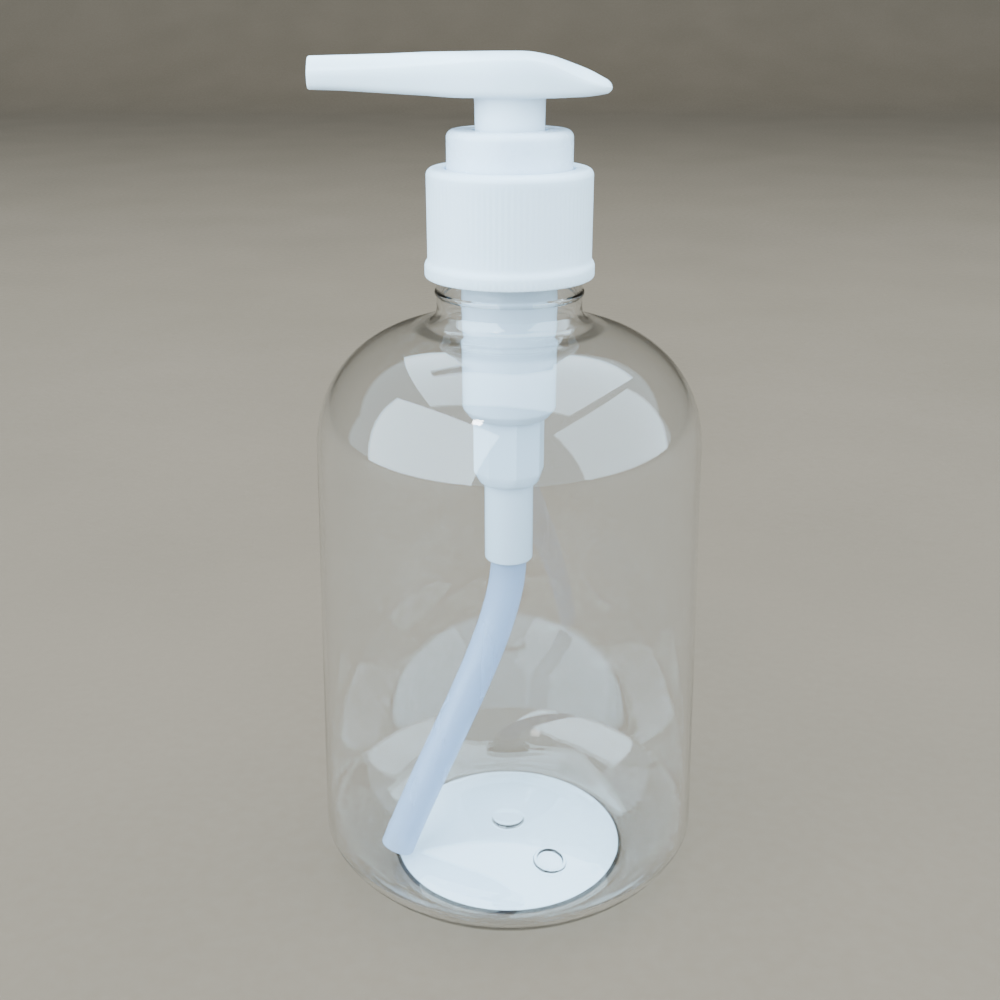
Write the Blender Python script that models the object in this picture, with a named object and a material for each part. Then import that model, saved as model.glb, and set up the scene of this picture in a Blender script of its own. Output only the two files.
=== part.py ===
"""Soap pump dispenser: a clear bottle with a screwed-on lotion pump, modelled as separate pieces.

Run it with: blender --background --python part.py
Metres, +Z up. The origin is the centre of the bottle's standing ring; the nozzle points to -X.
"""

import math

import bmesh
import bpy
from mathutils import Vector

MM = 0.001

# Facets round a turned piece
BROAD_SEGMENTS = 40
MIDDLE_SEGMENTS = 32
SMALL_SEGMENTS = 24

# Clearances
GAP = 0.3 * MM  # between pieces that touch or are pressed together
RUNNING_GAP = 0.35 * MM  # between pieces that slide or turn in each other
STOP_GAP = 0.2 * MM  # left at the end of a stroke

# Bottle body
HEEL_RADIUS = 40.4 * MM
SHOULDER_RADIUS = 38.2 * MM
BOTTLE_WALL = 0.9 * MM
RING_RADIUS = 26.2 * MM  # middle of the flat ring that the bottle stands on
RING_WIDTH = 1.6 * MM
HEEL_HEIGHT = 11.6 * MM
HEEL_POWER = 1.4  # superellipse power: 1 is a chamfer, 2 an ellipse
SHOULDER_START = 96.0 * MM  # height where the wall starts to curve in
SHOULDER_RISE = 25.1 * MM
SHOULDER_POWER = 2.2
RECESS_DEPTH = 1.6 * MM  # from the standing ring up to the edge of the push-up
PUSH_UP_RISE = 3.9 * MM  # of the domed push-up above its own edge

# Neck and its thread
NECK_BORE_RADIUS = 10.8 * MM
NECK_WALL = 1.8 * MM  # at the threaded finish
NECK_STEP = 1.4 * MM  # of the plain collar past the finish
NECK_FILLET = 3.0 * MM
NECK_HEIGHT = 22.0 * MM
THREAD_DEPTH = 1.05 * MM
THREAD_LEAD = 4.23 * MM
THREAD_TURNS = 1.5
THREAD_BELOW_RIM = 1.7 * MM
THREAD_RELIEF = 3.05 * MM  # under the thread's low end, down to the collar
THREAD_OFFSET = 1.5 * MM  # closure thread below the neck thread it hangs on
THREAD_ROOT_WIDTH = 2.0 * MM
THREAD_CREST_WIDTH = 0.9 * MM

# Base label
LABEL_MARGIN = 0.6 * MM  # inside the recess under the bottle
LABEL_THICKNESS = 0.3 * MM

# Closure
CLOSURE_WALL = 1.65 * MM
CLOSURE_TOP_WALL = 2.0 * MM
CLOSURE_SKIRT = 17.7 * MM  # from the inside of its top down to the lip
LIP_HEIGHT = 3.0 * MM
LIP_PROJECTION = 0.6 * MM

# Clamped stack on the neck rim
GASKET_THICKNESS = 1.1 * MM
HOUSING_FLANGE = 1.3 * MM
CHAPLET_FLANGE = 1.0 * MM

# Pump housing
HOUSING_CLEARANCE = 1.6 * MM  # round it, inside the neck
HOUSING_WALL = 0.75 * MM
HOUSING_LENGTH = 42.3 * MM  # wide part, under the flange
VALVE_STEP = 2.0 * MM  # from the wide part in to the corners of the eight-sided valve chamber
VALVE_WALL = 0.85 * MM
VALVE_CHAMFER = 1.2 * MM
VALVE_TURN = math.pi / 16  # of its edges round the axis, a whole number of facets of the turned piece
VALVE_LENGTH = 14.0 * MM
SOCKET_WALL = 0.95 * MM
SOCKET_LENGTH = 17.0 * MM
SOCKET_WEB = 2.0 * MM  # wall between the ball seat and the dip tube
INLET_RADIUS = 1.8 * MM

# Dip tube
TUBE_RADIUS = 3.7 * MM
TUBE_WALL = 0.7 * MM
TUBE_LEAN = 0.33  # drift of its foot towards -Y, as a share of its reach towards -X

# Inlet valve and spring
BALL_RADIUS = 3.0 * MM
BALL_LIFT = 1.2 * MM
RETAINER_THICKNESS = 1.2 * MM
SPRING_WIRE_RADIUS = 0.45 * MM
SPRING_TURNS = 8

# Plunger
STROKE = 5.2 * MM
LOST_MOTION = 1.2 * MM  # of the piston along the stem, which opens the outlet
STEM_RADIUS = 4.2 * MM
STEM_BORE_RADIUS = 2.8 * MM
STEM_SHOULDER = 1.3 * MM
PISTON_HEIGHT = 9.5 * MM
PISTON_WALL = 0.9 * MM
PLUG_FLANGE = 1.2 * MM
PLUG_CONE = 3.4 * MM
SLEEVE_WALL = 2.1 * MM
SLEEVE_DRAFT = 0.25 * MM  # how much slimmer the sleeve is at its foot

# Chaplet
CHAPLET_WALL = 4.95 * MM
CHAPLET_RISE = 7.1 * MM  # above the closure
CHAPLET_PLUG = 3.8 * MM  # depth of its plug in the housing
CHAPLET_LEDGE = 1.5 * MM
CHAPLET_EDGE = 1.8 * MM

# Pump head
HEAD_HEIGHT = 8.0 * MM
NOZZLE_REACH = 36.3 * MM
THUMB_REACH = 18.4 * MM
PAD_OVERHANG = 2.55 * MM  # of the thumb pad past the sleeve
NOZZLE_HALF_WIDTH = 3.2 * MM
OUTLET_RADIUS = 1.7 * MM

# Derived heights, from the neck rim up and down
NECK_FOOT = SHOULDER_START + SHOULDER_RISE
NECK_RIM = NECK_FOOT + NECK_HEIGHT
THREAD_FOOT = NECK_RIM - THREAD_BELOW_RIM - THREAD_LEAD * THREAD_TURNS
COLLAR_TOP = THREAD_FOOT - THREAD_RELIEF
GASKET_Z = NECK_RIM + GAP
FLANGE_Z = GASKET_Z + GASKET_THICKNESS + GAP
CHAPLET_FLANGE_Z = FLANGE_Z + HOUSING_FLANGE + GAP
CLOSURE_CEILING = CHAPLET_FLANGE_Z + CHAPLET_FLANGE + GAP
CLOSURE_TOP = CLOSURE_CEILING + CLOSURE_TOP_WALL
CLOSURE_LIP = CLOSURE_CEILING - CLOSURE_SKIRT
CHAPLET_TOP = CLOSURE_TOP + CHAPLET_RISE
CHAPLET_FOOT = CHAPLET_FLANGE_Z - CHAPLET_PLUG
HEAD_Z = CHAPLET_TOP + STROKE + STOP_GAP
SLEEVE_FOOT = CHAPLET_FOOT + CHAPLET_LEDGE + STROKE + 2 * STOP_GAP
SHOULDER_TOP = CHAPLET_FOOT - GAP
PISTON_TOP = SHOULDER_TOP - STEM_SHOULDER - LOST_MOTION - STOP_GAP / 2
PISTON_FOOT = PISTON_TOP - PISTON_HEIGHT
PLUG_FOOT = PISTON_FOOT - PLUG_CONE / 2 - PLUG_FLANGE - GAP / 2
VALVE_TOP = FLANGE_Z - HOUSING_LENGTH
VALVE_FOOT = VALVE_TOP - VALVE_LENGTH
SOCKET_FOOT = VALVE_FOOT - SOCKET_LENGTH
SOCKET_CEILING = VALVE_FOOT - SOCKET_WEB

# Derived radii
FINISH_RADIUS = NECK_BORE_RADIUS + NECK_WALL
NECK_RADIUS = FINISH_RADIUS + NECK_STEP
CLOSURE_BORE = FINISH_RADIUS + THREAD_DEPTH + RUNNING_GAP
LIP_BORE = max(NECK_RADIUS + RUNNING_GAP, CLOSURE_BORE)
CLOSURE_RADIUS = CLOSURE_BORE + CLOSURE_WALL
LIP_RADIUS = max(CLOSURE_RADIUS + LIP_PROJECTION, LIP_BORE + CLOSURE_WALL)
FLANGE_RADIUS = CLOSURE_BORE - 2 * GAP
HOUSING_RADIUS = NECK_BORE_RADIUS - HOUSING_CLEARANCE
HOUSING_BORE = HOUSING_RADIUS - HOUSING_WALL
VALVE_RADIUS = HOUSING_RADIUS - VALVE_STEP
VALVE_FLAT = VALVE_RADIUS * math.cos(math.pi / 8)  # from the axis to the middle of each side
VALVE_BORE_RADIUS = VALVE_FLAT - VALVE_WALL
SOCKET_BORE = TUBE_RADIUS + GAP
SOCKET_RADIUS = SOCKET_BORE + SOCKET_WALL
SLEEVE_BORE = STEM_RADIUS + GAP
SLEEVE_RADIUS = SLEEVE_BORE + SLEEVE_WALL
CHAPLET_BORE = SLEEVE_RADIUS + RUNNING_GAP
CHAPLET_RADIUS = CHAPLET_BORE + CHAPLET_WALL
CLOSURE_HOLE = CHAPLET_RADIUS + RUNNING_GAP
PISTON_RADIUS = HOUSING_BORE - 0.2 * MM
PISTON_BORE = STEM_RADIUS + GAP
SPRING_RADIUS = VALVE_BORE_RADIUS - SPRING_WIRE_RADIUS - 2 * GAP
PLUG_CONE_RADIUS = PISTON_BORE + 1.1 * MM
PLUG_RADIUS = max(PLUG_CONE_RADIUS, SPRING_RADIUS + SPRING_WIRE_RADIUS + GAP)
BALL_CENTRE = VALVE_FOOT - INLET_RADIUS + (BALL_RADIUS + GAP) * math.sqrt(2)
RETAINER_Z = BALL_CENTRE + BALL_RADIUS + BALL_LIFT + STOP_GAP
SPRING_FOOT = RETAINER_Z + RETAINER_THICKNESS + GAP
PAD_HALF_WIDTH = SLEEVE_RADIUS + PAD_OVERHANG

# Side and plan of the pump head: place along the reach (nozzle at -1, thumb tip at 1), half width
# between the nozzle's and the pad's (0 to 1), underside and top as shares of the head's height.
HEAD_STATIONS = (
    (-1.0, 0.0, 0.19, 0.90),
    (-0.83, 0.06, 0.17, 0.92),
    (-0.62, 0.16, 0.12, 0.945),
    (-0.41, 0.35, 0.06, 0.98),
    (-0.28, 0.57, 0.02, 0.99),
    (-0.18, 0.76, 0.0, 0.995),
    (-0.05, 0.95, 0.0, 1.0),
    (0.19, 1.0, 0.0, 0.99),
    (0.41, 0.87, 0.01, 0.90),
    (0.56, 0.68, 0.03, 0.79),
    (0.77, 0.30, 0.09, 0.60),
    (0.92, -0.06, 0.15, 0.42),
    (1.0, -0.33, 0.20, 0.32),
)


def clear_scene() -> None:
    for obj in list(bpy.data.objects):
        bpy.data.objects.remove(obj, do_unlink=True)


def plastic(name: str, colour: tuple[float, float, float], roughness: float, metallic=0.0, alpha=1.0):
    material = bpy.data.materials.new(name)
    material.use_nodes = True
    shader = material.node_tree.nodes["Principled BSDF"]
    shader.inputs["Base Color"].default_value = (*colour, 1.0)
    shader.inputs["Roughness"].default_value = roughness
    shader.inputs["Metallic"].default_value = metallic
    shader.inputs["Alpha"].default_value = alpha
    material.diffuse_color = (*colour, alpha)
    return material


def finish_mesh(name: str, bm: bmesh.types.BMesh, material, z: float = 0.0):
    """Turns bm into an object at height z, smooth on its round faces."""
    bmesh.ops.remove_doubles(bm, verts=bm.verts, dist=0.001 * MM)
    bmesh.ops.recalc_face_normals(bm, faces=bm.faces)
    mesh = bpy.data.meshes.new(name)
    bm.to_mesh(mesh)
    bm.free()
    mesh.shade_smooth()
    mesh.set_sharp_from_angle(angle=math.radians(35))
    obj = bpy.data.objects.new(name, mesh)
    obj.location.z = z
    bpy.context.scene.collection.objects.link(obj)
    if material is not None:
        mesh.materials.append(material)
    return obj


def turned_mesh(profile, segments: int, closed: bool) -> bmesh.types.BMesh:
    """The profile, as (radius, height) points, spun once round Z."""
    bm = bmesh.new()
    verts = [bm.verts.new((radius, 0.0, height)) for radius, height in profile]
    edges = [bm.edges.new(pair) for pair in zip(verts, verts[1:])]
    if closed:
        edges.append(bm.edges.new((verts[-1], verts[0])))
    bmesh.ops.spin(bm, geom=verts + edges, cent=(0, 0, 0), axis=(0, 0, 1), angle=2 * math.pi,
                   steps=segments, use_merge=True)
    return bm


def turned(name: str, profile, material, segments=MIDDLE_SEGMENTS, closed=True, z=0.0):
    return finish_mesh(name, turned_mesh(profile, segments, closed), material, z)


def lofted_mesh(rings) -> bmesh.types.BMesh:
    """A solid through rings of points, each ring with the same number, capped at both ends."""
    bm = bmesh.new()
    loops = [[bm.verts.new(point) for point in ring] for ring in rings]
    for low, high in zip(loops, loops[1:]):
        for i, vert in enumerate(low):
            after = (i + 1) % len(low)
            bm.faces.new((vert, low[after], high[after], high[i]))
    bm.faces.new(reversed(loops[0]))
    bm.faces.new(loops[-1])
    return bm


def cutter(obj):
    obj.hide_render = True
    obj.display_type = "WIRE"
    return obj


def add_boolean(obj, other, operation: str) -> None:
    modifier = obj.modifiers.new(operation.lower(), "BOOLEAN")
    modifier.operation = operation
    modifier.solver = "EXACT"
    modifier.object = cutter(other)


def superellipse(power: float, steps: int):
    """(cos, sin) shares along a quarter of a superellipse, from the side to the top."""
    for i in range(steps + 1):
        angle = math.pi / 2 * i / steps
        yield math.cos(angle) ** (2 / power), math.sin(angle) ** (2 / power)


def arc(centre, radius: float, start: float, end: float, steps: int):
    """Points on an arc about centre, between two angles in degrees."""
    for i in range(steps + 1):
        angle = math.radians(start + (end - start) * i / steps)
        yield centre[0] + radius * math.cos(angle), centre[1] + radius * math.sin(angle)


def thread_ridge(name: str, root: float, crest: float, low_z: float):
    """A helical ridge from radius root to radius crest, tapered at both ends, rising with the angle."""
    steps = round(24 * THREAD_TURNS)
    rings = []
    for i in range(steps + 1):
        share = i / steps
        angle = 2 * math.pi * THREAD_TURNS * share
        height = low_z + THREAD_LEAD * THREAD_TURNS * share
        fullness = min(1.0, (0.08 + share) * 6, (1.08 - share) * 6)
        inner_root = root - math.copysign(GAP, crest - root)
        outer_crest = root + (crest - root) * fullness
        ring = [
            (inner_root, -THREAD_ROOT_WIDTH / 2),
            (outer_crest, -THREAD_CREST_WIDTH / 2),
            (outer_crest, THREAD_CREST_WIDTH / 2),
            (inner_root, THREAD_ROOT_WIDTH / 2),
        ]
        rings.append([(r * math.cos(angle), r * math.sin(angle), height + dz) for r, dz in ring])
    return finish_mesh(name, lofted_mesh(rings), None)


def push_up(radius: float) -> float:
    """Height of the push-up's underside at a radius: a shallow dome inside the standing ring."""
    edge = RING_RADIUS - RING_WIDTH / 2
    return RECESS_DEPTH + PUSH_UP_RISE * (1 - (radius / edge) ** 2)


def bottle_outer() -> list:
    """The outside of the bottle, from the middle of its base up to the rim."""
    ring_out = RING_RADIUS + RING_WIDTH / 2
    recess = RING_RADIUS - RING_WIDTH / 2
    roof = recess - 0.2 * MM
    points = [(roof * share, push_up(roof * share)) for share in (0.0, 0.3, 0.6, 0.8, 1.0)]
    points.append((recess, 0.0))
    heel = [
        (ring_out + (HEEL_RADIUS - ring_out) * across, HEEL_HEIGHT * (1 - up))
        for up, across in superellipse(HEEL_POWER, 6)
    ]
    points += heel
    dome_radius = SHOULDER_RADIUS - NECK_RADIUS + NECK_FILLET
    for across, up in superellipse(SHOULDER_POWER, 9):
        radius = NECK_RADIUS - NECK_FILLET + dome_radius * across
        if radius < NECK_RADIUS + NECK_FILLET:
            break
        points.append((radius, SHOULDER_START + SHOULDER_RISE * up))
    points += arc((NECK_RADIUS + NECK_FILLET, NECK_FOOT + NECK_FILLET), NECK_FILLET, 255, 180, 3)
    points += [(NECK_RADIUS, COLLAR_TOP - 0.5 * MM), (NECK_RADIUS - 0.5 * MM, COLLAR_TOP)]
    points.append((FINISH_RADIUS, COLLAR_TOP))
    points += [(FINISH_RADIUS, NECK_RIM - 0.4 * MM), (FINISH_RADIUS - 0.4 * MM, NECK_RIM)]
    return points


def bottle_inner() -> list:
    """The inside of the bottle, from the rim down to the middle of the floor."""
    bore_foot = NECK_FOOT - BOTTLE_WALL
    inner_neck = min(NECK_BORE_RADIUS, NECK_RADIUS - BOTTLE_WALL)
    dome_radius = SHOULDER_RADIUS - NECK_RADIUS + NECK_FILLET
    shoulder = []
    for across, up in superellipse(SHOULDER_POWER, 9):
        radius = NECK_RADIUS - NECK_FILLET + (dome_radius - BOTTLE_WALL) * across
        if radius < inner_neck + NECK_FILLET:
            break
        shoulder.append((radius, SHOULDER_START + (SHOULDER_RISE - BOTTLE_WALL) * up))
    points = [(inner_neck, NECK_RIM), (inner_neck, bore_foot + NECK_FILLET / 2)]
    points += [(inner_neck + NECK_FILLET / 2, bore_foot)]
    points += reversed(shoulder)
    trough = RING_RADIUS + RING_WIDTH / 2
    inner_heel = HEEL_RADIUS - BOTTLE_WALL
    floor = BOTTLE_WALL * 1.3
    points += reversed([
        (trough + (inner_heel - trough) * across, floor + (HEEL_HEIGHT - floor) * (1 - up))
        for up, across in superellipse(HEEL_POWER, 6)
    ])
    recess = RING_RADIUS - RING_WIDTH / 2
    points += [(recess * share, push_up(recess * share) + BOTTLE_WALL) for share in (0.95, 0.8, 0.6, 0.3, 0.0)]
    return points


def build_bottle() -> None:
    material = plastic("clear_pet", (0.86, 0.88, 0.88), 0.05, alpha=0.35)
    bottle = turned("bottle", bottle_outer() + bottle_inner(), material, BROAD_SEGMENTS, closed=False)
    thread = thread_ridge("neck_thread_form", FINISH_RADIUS, FINISH_RADIUS + THREAD_DEPTH, THREAD_FOOT)
    add_boolean(bottle, thread, "UNION")


def build_base_label() -> None:
    radius = RING_RADIUS - RING_WIDTH / 2 - LABEL_MARGIN
    shares = (0.0, 0.3, 0.6, 0.8, 1.0)
    top = [(radius * share, push_up(radius * share) - GAP) for share in shares]
    under = [(place, height - LABEL_THICKNESS) for place, height in reversed(top)]
    turned("base_label", top + under, plastic("label_paper", (0.9, 0.92, 0.94), 0.7), closed=False)


def build_closure() -> None:
    """Screw closure: its own zero height is at the lip."""
    height = CLOSURE_TOP - CLOSURE_LIP
    ceiling = CLOSURE_CEILING - CLOSURE_LIP
    edge = 1.0 * MM
    lip_step = COLLAR_TOP + GAP - CLOSURE_LIP
    profile = [
        (LIP_BORE, 0.0),
        (LIP_RADIUS - 0.4 * MM, 0.0),
        (LIP_RADIUS, 0.4 * MM),
        (LIP_RADIUS, LIP_HEIGHT - LIP_PROJECTION),
        (CLOSURE_RADIUS, LIP_HEIGHT),
        *arc((CLOSURE_RADIUS - edge, height - edge), edge, 0, 90, 3),
        (CLOSURE_HOLE, height),
        (CLOSURE_HOLE, ceiling),
        (CLOSURE_BORE, ceiling),
        (CLOSURE_BORE, lip_step + LIP_BORE - CLOSURE_BORE),
        (LIP_BORE, lip_step),
    ]
    if LIP_BORE == CLOSURE_BORE:
        profile.pop(-2)
    closure = turned("closure", profile, plastic("white_pp", (0.9, 0.92, 0.95), 0.35), BROAD_SEGMENTS, z=CLOSURE_LIP)
    thread_low = THREAD_FOOT - THREAD_OFFSET - CLOSURE_LIP
    thread = thread_ridge("closure_thread_form", CLOSURE_BORE, FINISH_RADIUS + RUNNING_GAP, thread_low)
    thread.location.z = CLOSURE_LIP
    add_boolean(closure, thread, "UNION")


def build_gasket() -> None:
    inner = HOUSING_RADIUS + GAP
    outer = FINISH_RADIUS + RUNNING_GAP
    profile = [(inner, 0.0), (outer, 0.0), (outer, GASKET_THICKNESS), (inner, GASKET_THICKNESS)]
    turned("neck_gasket", profile, plastic("gasket_foam", (0.85, 0.86, 0.86), 0.8), z=GASKET_Z)


def build_chaplet() -> None:
    """Collar that guides the plunger: its own zero height is at the foot of its plug."""
    flange = CHAPLET_FLANGE_Z - CHAPLET_FOOT
    top = CHAPLET_TOP - CHAPLET_FOOT
    plug = HOUSING_BORE - GAP
    hole = STEM_RADIUS + RUNNING_GAP
    profile = [
        (hole, 0.0),
        (plug - 0.4 * MM, 0.0),
        (plug, 0.4 * MM),
        (plug, flange),
        (FLANGE_RADIUS, flange),
        (FLANGE_RADIUS, flange + CHAPLET_FLANGE),
        (CHAPLET_RADIUS, flange + CHAPLET_FLANGE),
        *arc((CHAPLET_RADIUS - CHAPLET_EDGE, top - CHAPLET_EDGE), CHAPLET_EDGE, 0, 90, 4),
        (CHAPLET_BORE + 0.3 * MM, top),
        (CHAPLET_BORE, top - 0.3 * MM),
        (CHAPLET_BORE, CHAPLET_LEDGE),
        (hole, CHAPLET_LEDGE),
    ]
    turned("chaplet", profile, plastic("white_pp_collar", (0.88, 0.91, 0.94), 0.3), z=CHAPLET_FOOT)


def build_housing() -> None:
    """Pump cylinder, valve chamber and dip-tube socket in one: zero height is at the socket's foot."""
    valve_foot = VALVE_FOOT - SOCKET_FOOT
    valve_top = VALVE_TOP - SOCKET_FOOT
    flange = FLANGE_Z - SOCKET_FOOT
    ceiling = SOCKET_CEILING - SOCKET_FOOT
    chamfer = 0.8 * MM
    outer = [
        (SOCKET_BORE, 0.0),
        (SOCKET_RADIUS - chamfer / 2, 0.0),
        (SOCKET_RADIUS, chamfer),
        (SOCKET_RADIUS, valve_foot - chamfer / 2),
        (VALVE_RADIUS - VALVE_CHAMFER, valve_foot),
        (VALVE_RADIUS, valve_foot + 1.8 * VALVE_CHAMFER),
        (VALVE_RADIUS, valve_top),
        (HOUSING_RADIUS - 1.5 * chamfer, valve_top),
        (HOUSING_RADIUS - 0.1 * MM, valve_top + 2 * chamfer),
        (HOUSING_RADIUS, flange),
        (FLANGE_RADIUS, flange),
        (FLANGE_RADIUS, flange + HOUSING_FLANGE),
    ]
    seat_top = valve_foot + VALVE_BORE_RADIUS - INLET_RADIUS
    bore_foot = valve_top + 4.0 * MM
    inner = [
        (HOUSING_BORE, flange + HOUSING_FLANGE),
        (HOUSING_BORE, bore_foot),
        (VALVE_BORE_RADIUS, bore_foot - (HOUSING_BORE - VALVE_BORE_RADIUS)),
        (VALVE_BORE_RADIUS, seat_top),
        (INLET_RADIUS, valve_foot),
        (INLET_RADIUS, ceiling),
        (SOCKET_BORE, ceiling),
    ]
    bm = turned_mesh(outer + inner, MIDDLE_SEGMENTS, closed=True)
    for vert in bm.verts:
        radius = math.hypot(vert.co.x, vert.co.y)
        if valve_foot < vert.co.z <= valve_top + 0.01 * MM and abs(radius - VALVE_RADIUS) < 0.01 * MM:
            turn = (math.atan2(vert.co.y, vert.co.x) - VALVE_TURN) % (math.pi / 4) - math.pi / 8
            vert.co.xy = vert.co.xy * (VALVE_FLAT / math.cos(turn) / radius)
    finish_mesh("pump_housing", bm, plastic("natural_pp", (0.85, 0.88, 0.92), 0.3, alpha=0.8), SOCKET_FOOT)


def tube_route() -> list[Vector]:
    """Centre line of the dip tube: straight in its socket, then a sweep to the heel of the bottle."""
    reach = RING_RADIUS - TUBE_RADIUS / 2
    inner_edge = reach * math.hypot(1, TUBE_LEAN) - TUBE_RADIUS
    foot_z = push_up(inner_edge) + BOTTLE_WALL + GAP + 0.4 * TUBE_RADIUS
    drop = SOCKET_FOOT - foot_z
    points = (
        Vector((0.0, 0.0, SOCKET_FOOT)),
        Vector((0.0, 0.0, SOCKET_FOOT - 0.25 * drop)),
        Vector((-0.56 * reach, -0.56 * TUBE_LEAN * reach, foot_z + 0.41 * drop)),
        Vector((-reach, -TUBE_LEAN * reach, foot_z)),
    )
    route = [Vector((0.0, 0.0, SOCKET_CEILING - GAP))]
    for i in range(15):
        t = i / 14
        weights = ((1 - t) ** 3, 3 * t * (1 - t) ** 2, 3 * t * t * (1 - t), t**3)
        route.append(sum((weight * point for weight, point in zip(weights, points)), Vector()))
    return route


def swept_rings(route: list[Vector], radius: float, sides: int) -> list:
    """Circles of points square to the route."""
    rings = []
    for i, centre in enumerate(route):
        ahead = route[min(i + 1, len(route) - 1)]
        behind = route[max(i - 1, 0)]
        along = (ahead - behind).normalized()
        across = Vector((0, 1, 0)).cross(along).normalized()
        up = along.cross(across)
        turns = [2 * math.pi * k / sides for k in range(sides)]
        rings.append([centre + radius * (math.cos(a) * across + math.sin(a) * up) for a in turns])
    return rings


def build_dip_tube() -> None:
    route = tube_route()
    outside = swept_rings(route, TUBE_RADIUS, 12)
    inside = swept_rings(route, TUBE_RADIUS - TUBE_WALL, 12)
    bm = lofted_mesh(outside + inside[::-1] + outside[:1])
    caps = [face for face in bm.faces if len(face.verts) > 4]
    bmesh.ops.delete(bm, geom=caps, context="FACES")
    finish_mesh("dip_tube", bm, plastic("natural_pe", (0.82, 0.85, 0.92), 0.35, alpha=0.7))


def build_inlet_ball() -> None:
    bm = bmesh.new()
    bmesh.ops.create_uvsphere(bm, u_segments=16, v_segments=10, radius=BALL_RADIUS)
    finish_mesh("inlet_ball", bm, plastic("ball_glass", (0.75, 0.8, 0.8), 0.05), BALL_CENTRE)


def build_ball_retainer() -> None:
    """Slotted disc over the ball, which also seats the spring."""
    radius = VALVE_BORE_RADIUS - GAP
    disc = [(0.0, 0.0), (radius, 0.0), (radius, RETAINER_THICKNESS), (0.0, RETAINER_THICKNESS)]
    material = plastic("retainer_pp", (0.88, 0.9, 0.92), 0.4)
    retainer = turned("ball_retainer", disc, material, SMALL_SEGMENTS, closed=False, z=RETAINER_Z)
    for i in range(3):
        angle = 2 * math.pi * (i + 0.5) / 3
        bm = bmesh.new()
        bmesh.ops.create_cone(bm, cap_ends=True, segments=12, radius1=0.2 * radius, radius2=0.2 * radius,
                              depth=3 * RETAINER_THICKNESS)
        port = finish_mesh(f"retainer_port_form_{i}", bm, None, RETAINER_Z)
        port.location.xy = (0.5 * radius * math.cos(angle), 0.5 * radius * math.sin(angle))
        add_boolean(retainer, port, "DIFFERENCE")


def build_spring() -> None:
    """Compression spring with closed ends: its own zero height is at its foot."""
    length = PLUG_FOOT - GAP - SPRING_FOOT
    wire = SPRING_WIRE_RADIUS
    end_pitch = 2.2 * wire
    pitch = (length - 2 * wire - 2 * end_pitch) / (SPRING_TURNS - 2)
    per_turn = 12
    route = []
    height = wire
    for i in range(SPRING_TURNS * per_turn + 1):
        angle = 2 * math.pi * i / per_turn
        route.append(Vector((SPRING_RADIUS * math.cos(angle), SPRING_RADIUS * math.sin(angle), height)))
        end_coil = i < per_turn or i >= (SPRING_TURNS - 1) * per_turn
        height += (end_pitch if end_coil else pitch) / per_turn
    rings = []
    for point in route:
        outward = Vector((point.x, point.y, 0)).normalized()
        turns = [2 * math.pi * k / 6 for k in range(6)]
        rings.append([point + wire * (math.cos(a) * outward + math.sin(a) * Vector((0, 0, 1))) for a in turns])
    steel = plastic("spring_steel", (0.6, 0.6, 0.62), 0.3, metallic=1.0)
    finish_mesh("return_spring", lofted_mesh(rings), steel, SPRING_FOOT)


def build_valve_plug() -> None:
    """Lower end of the plunger: spring seat, outlet cone and a fluted post. Zero height is at its foot."""
    post = STEM_BORE_RADIUS - GAP
    cone_tip = max(PISTON_BORE - 1.4 * MM, post + 0.2 * MM)
    cone_top = PLUG_FLANGE + PLUG_CONE
    post_top = cone_top + 9.0 * MM
    profile = [
        (0.0, 0.0),
        (PLUG_RADIUS, 0.0),
        (PLUG_RADIUS, PLUG_FLANGE),
        (PLUG_CONE_RADIUS, PLUG_FLANGE),
        (cone_tip, cone_top),
        (post, cone_top + 0.5 * MM),
        (post, post_top - 0.5 * MM),
        (post - 0.5 * MM, post_top),
        (0.0, post_top),
    ]
    bm = turned_mesh(profile, SMALL_SEGMENTS, closed=False)
    for vert in bm.verts:
        turn = math.atan2(vert.co.y, vert.co.x) % (math.pi / 2)
        if vert.co.z > cone_top and math.pi / 6 - 0.01 < turn < math.pi / 3 + 0.01:
            vert.co.xy = vert.co.xy * 0.6
    finish_mesh("valve_plug", bm, plastic("plug_pp", (0.88, 0.9, 0.92), 0.4), PLUG_FOOT)


def build_piston() -> None:
    """Double-lipped sliding seal: its own zero height is at its foot."""
    lip = 1.6 * MM
    hub = PISTON_BORE + PISTON_WALL
    waist = PISTON_RADIUS - 0.5 * MM
    web_low = 3.4 * MM
    web_high = web_low + 1.4 * MM
    skirt = PISTON_RADIUS - PISTON_WALL
    profile = [
        (PISTON_BORE, 0.0),
        (hub, 0.0),
        (hub, web_low),
        (skirt, web_low),
        (skirt, 0.9 * MM),
        (PISTON_RADIUS, 0.5 * MM),
        (PISTON_RADIUS, lip),
        (waist, lip + 0.8 * MM),
        (waist, PISTON_HEIGHT - lip - 0.8 * MM),
        (PISTON_RADIUS, PISTON_HEIGHT - lip),
        (PISTON_RADIUS, PISTON_HEIGHT),
        (skirt, PISTON_HEIGHT),
        (skirt, web_high),
        (hub, web_high),
        (hub, PISTON_HEIGHT),
        (PISTON_BORE, PISTON_HEIGHT),
    ]
    turned("piston", profile, plastic("piston_pe", (0.9, 0.9, 0.9), 0.45), z=PISTON_FOOT)


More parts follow.
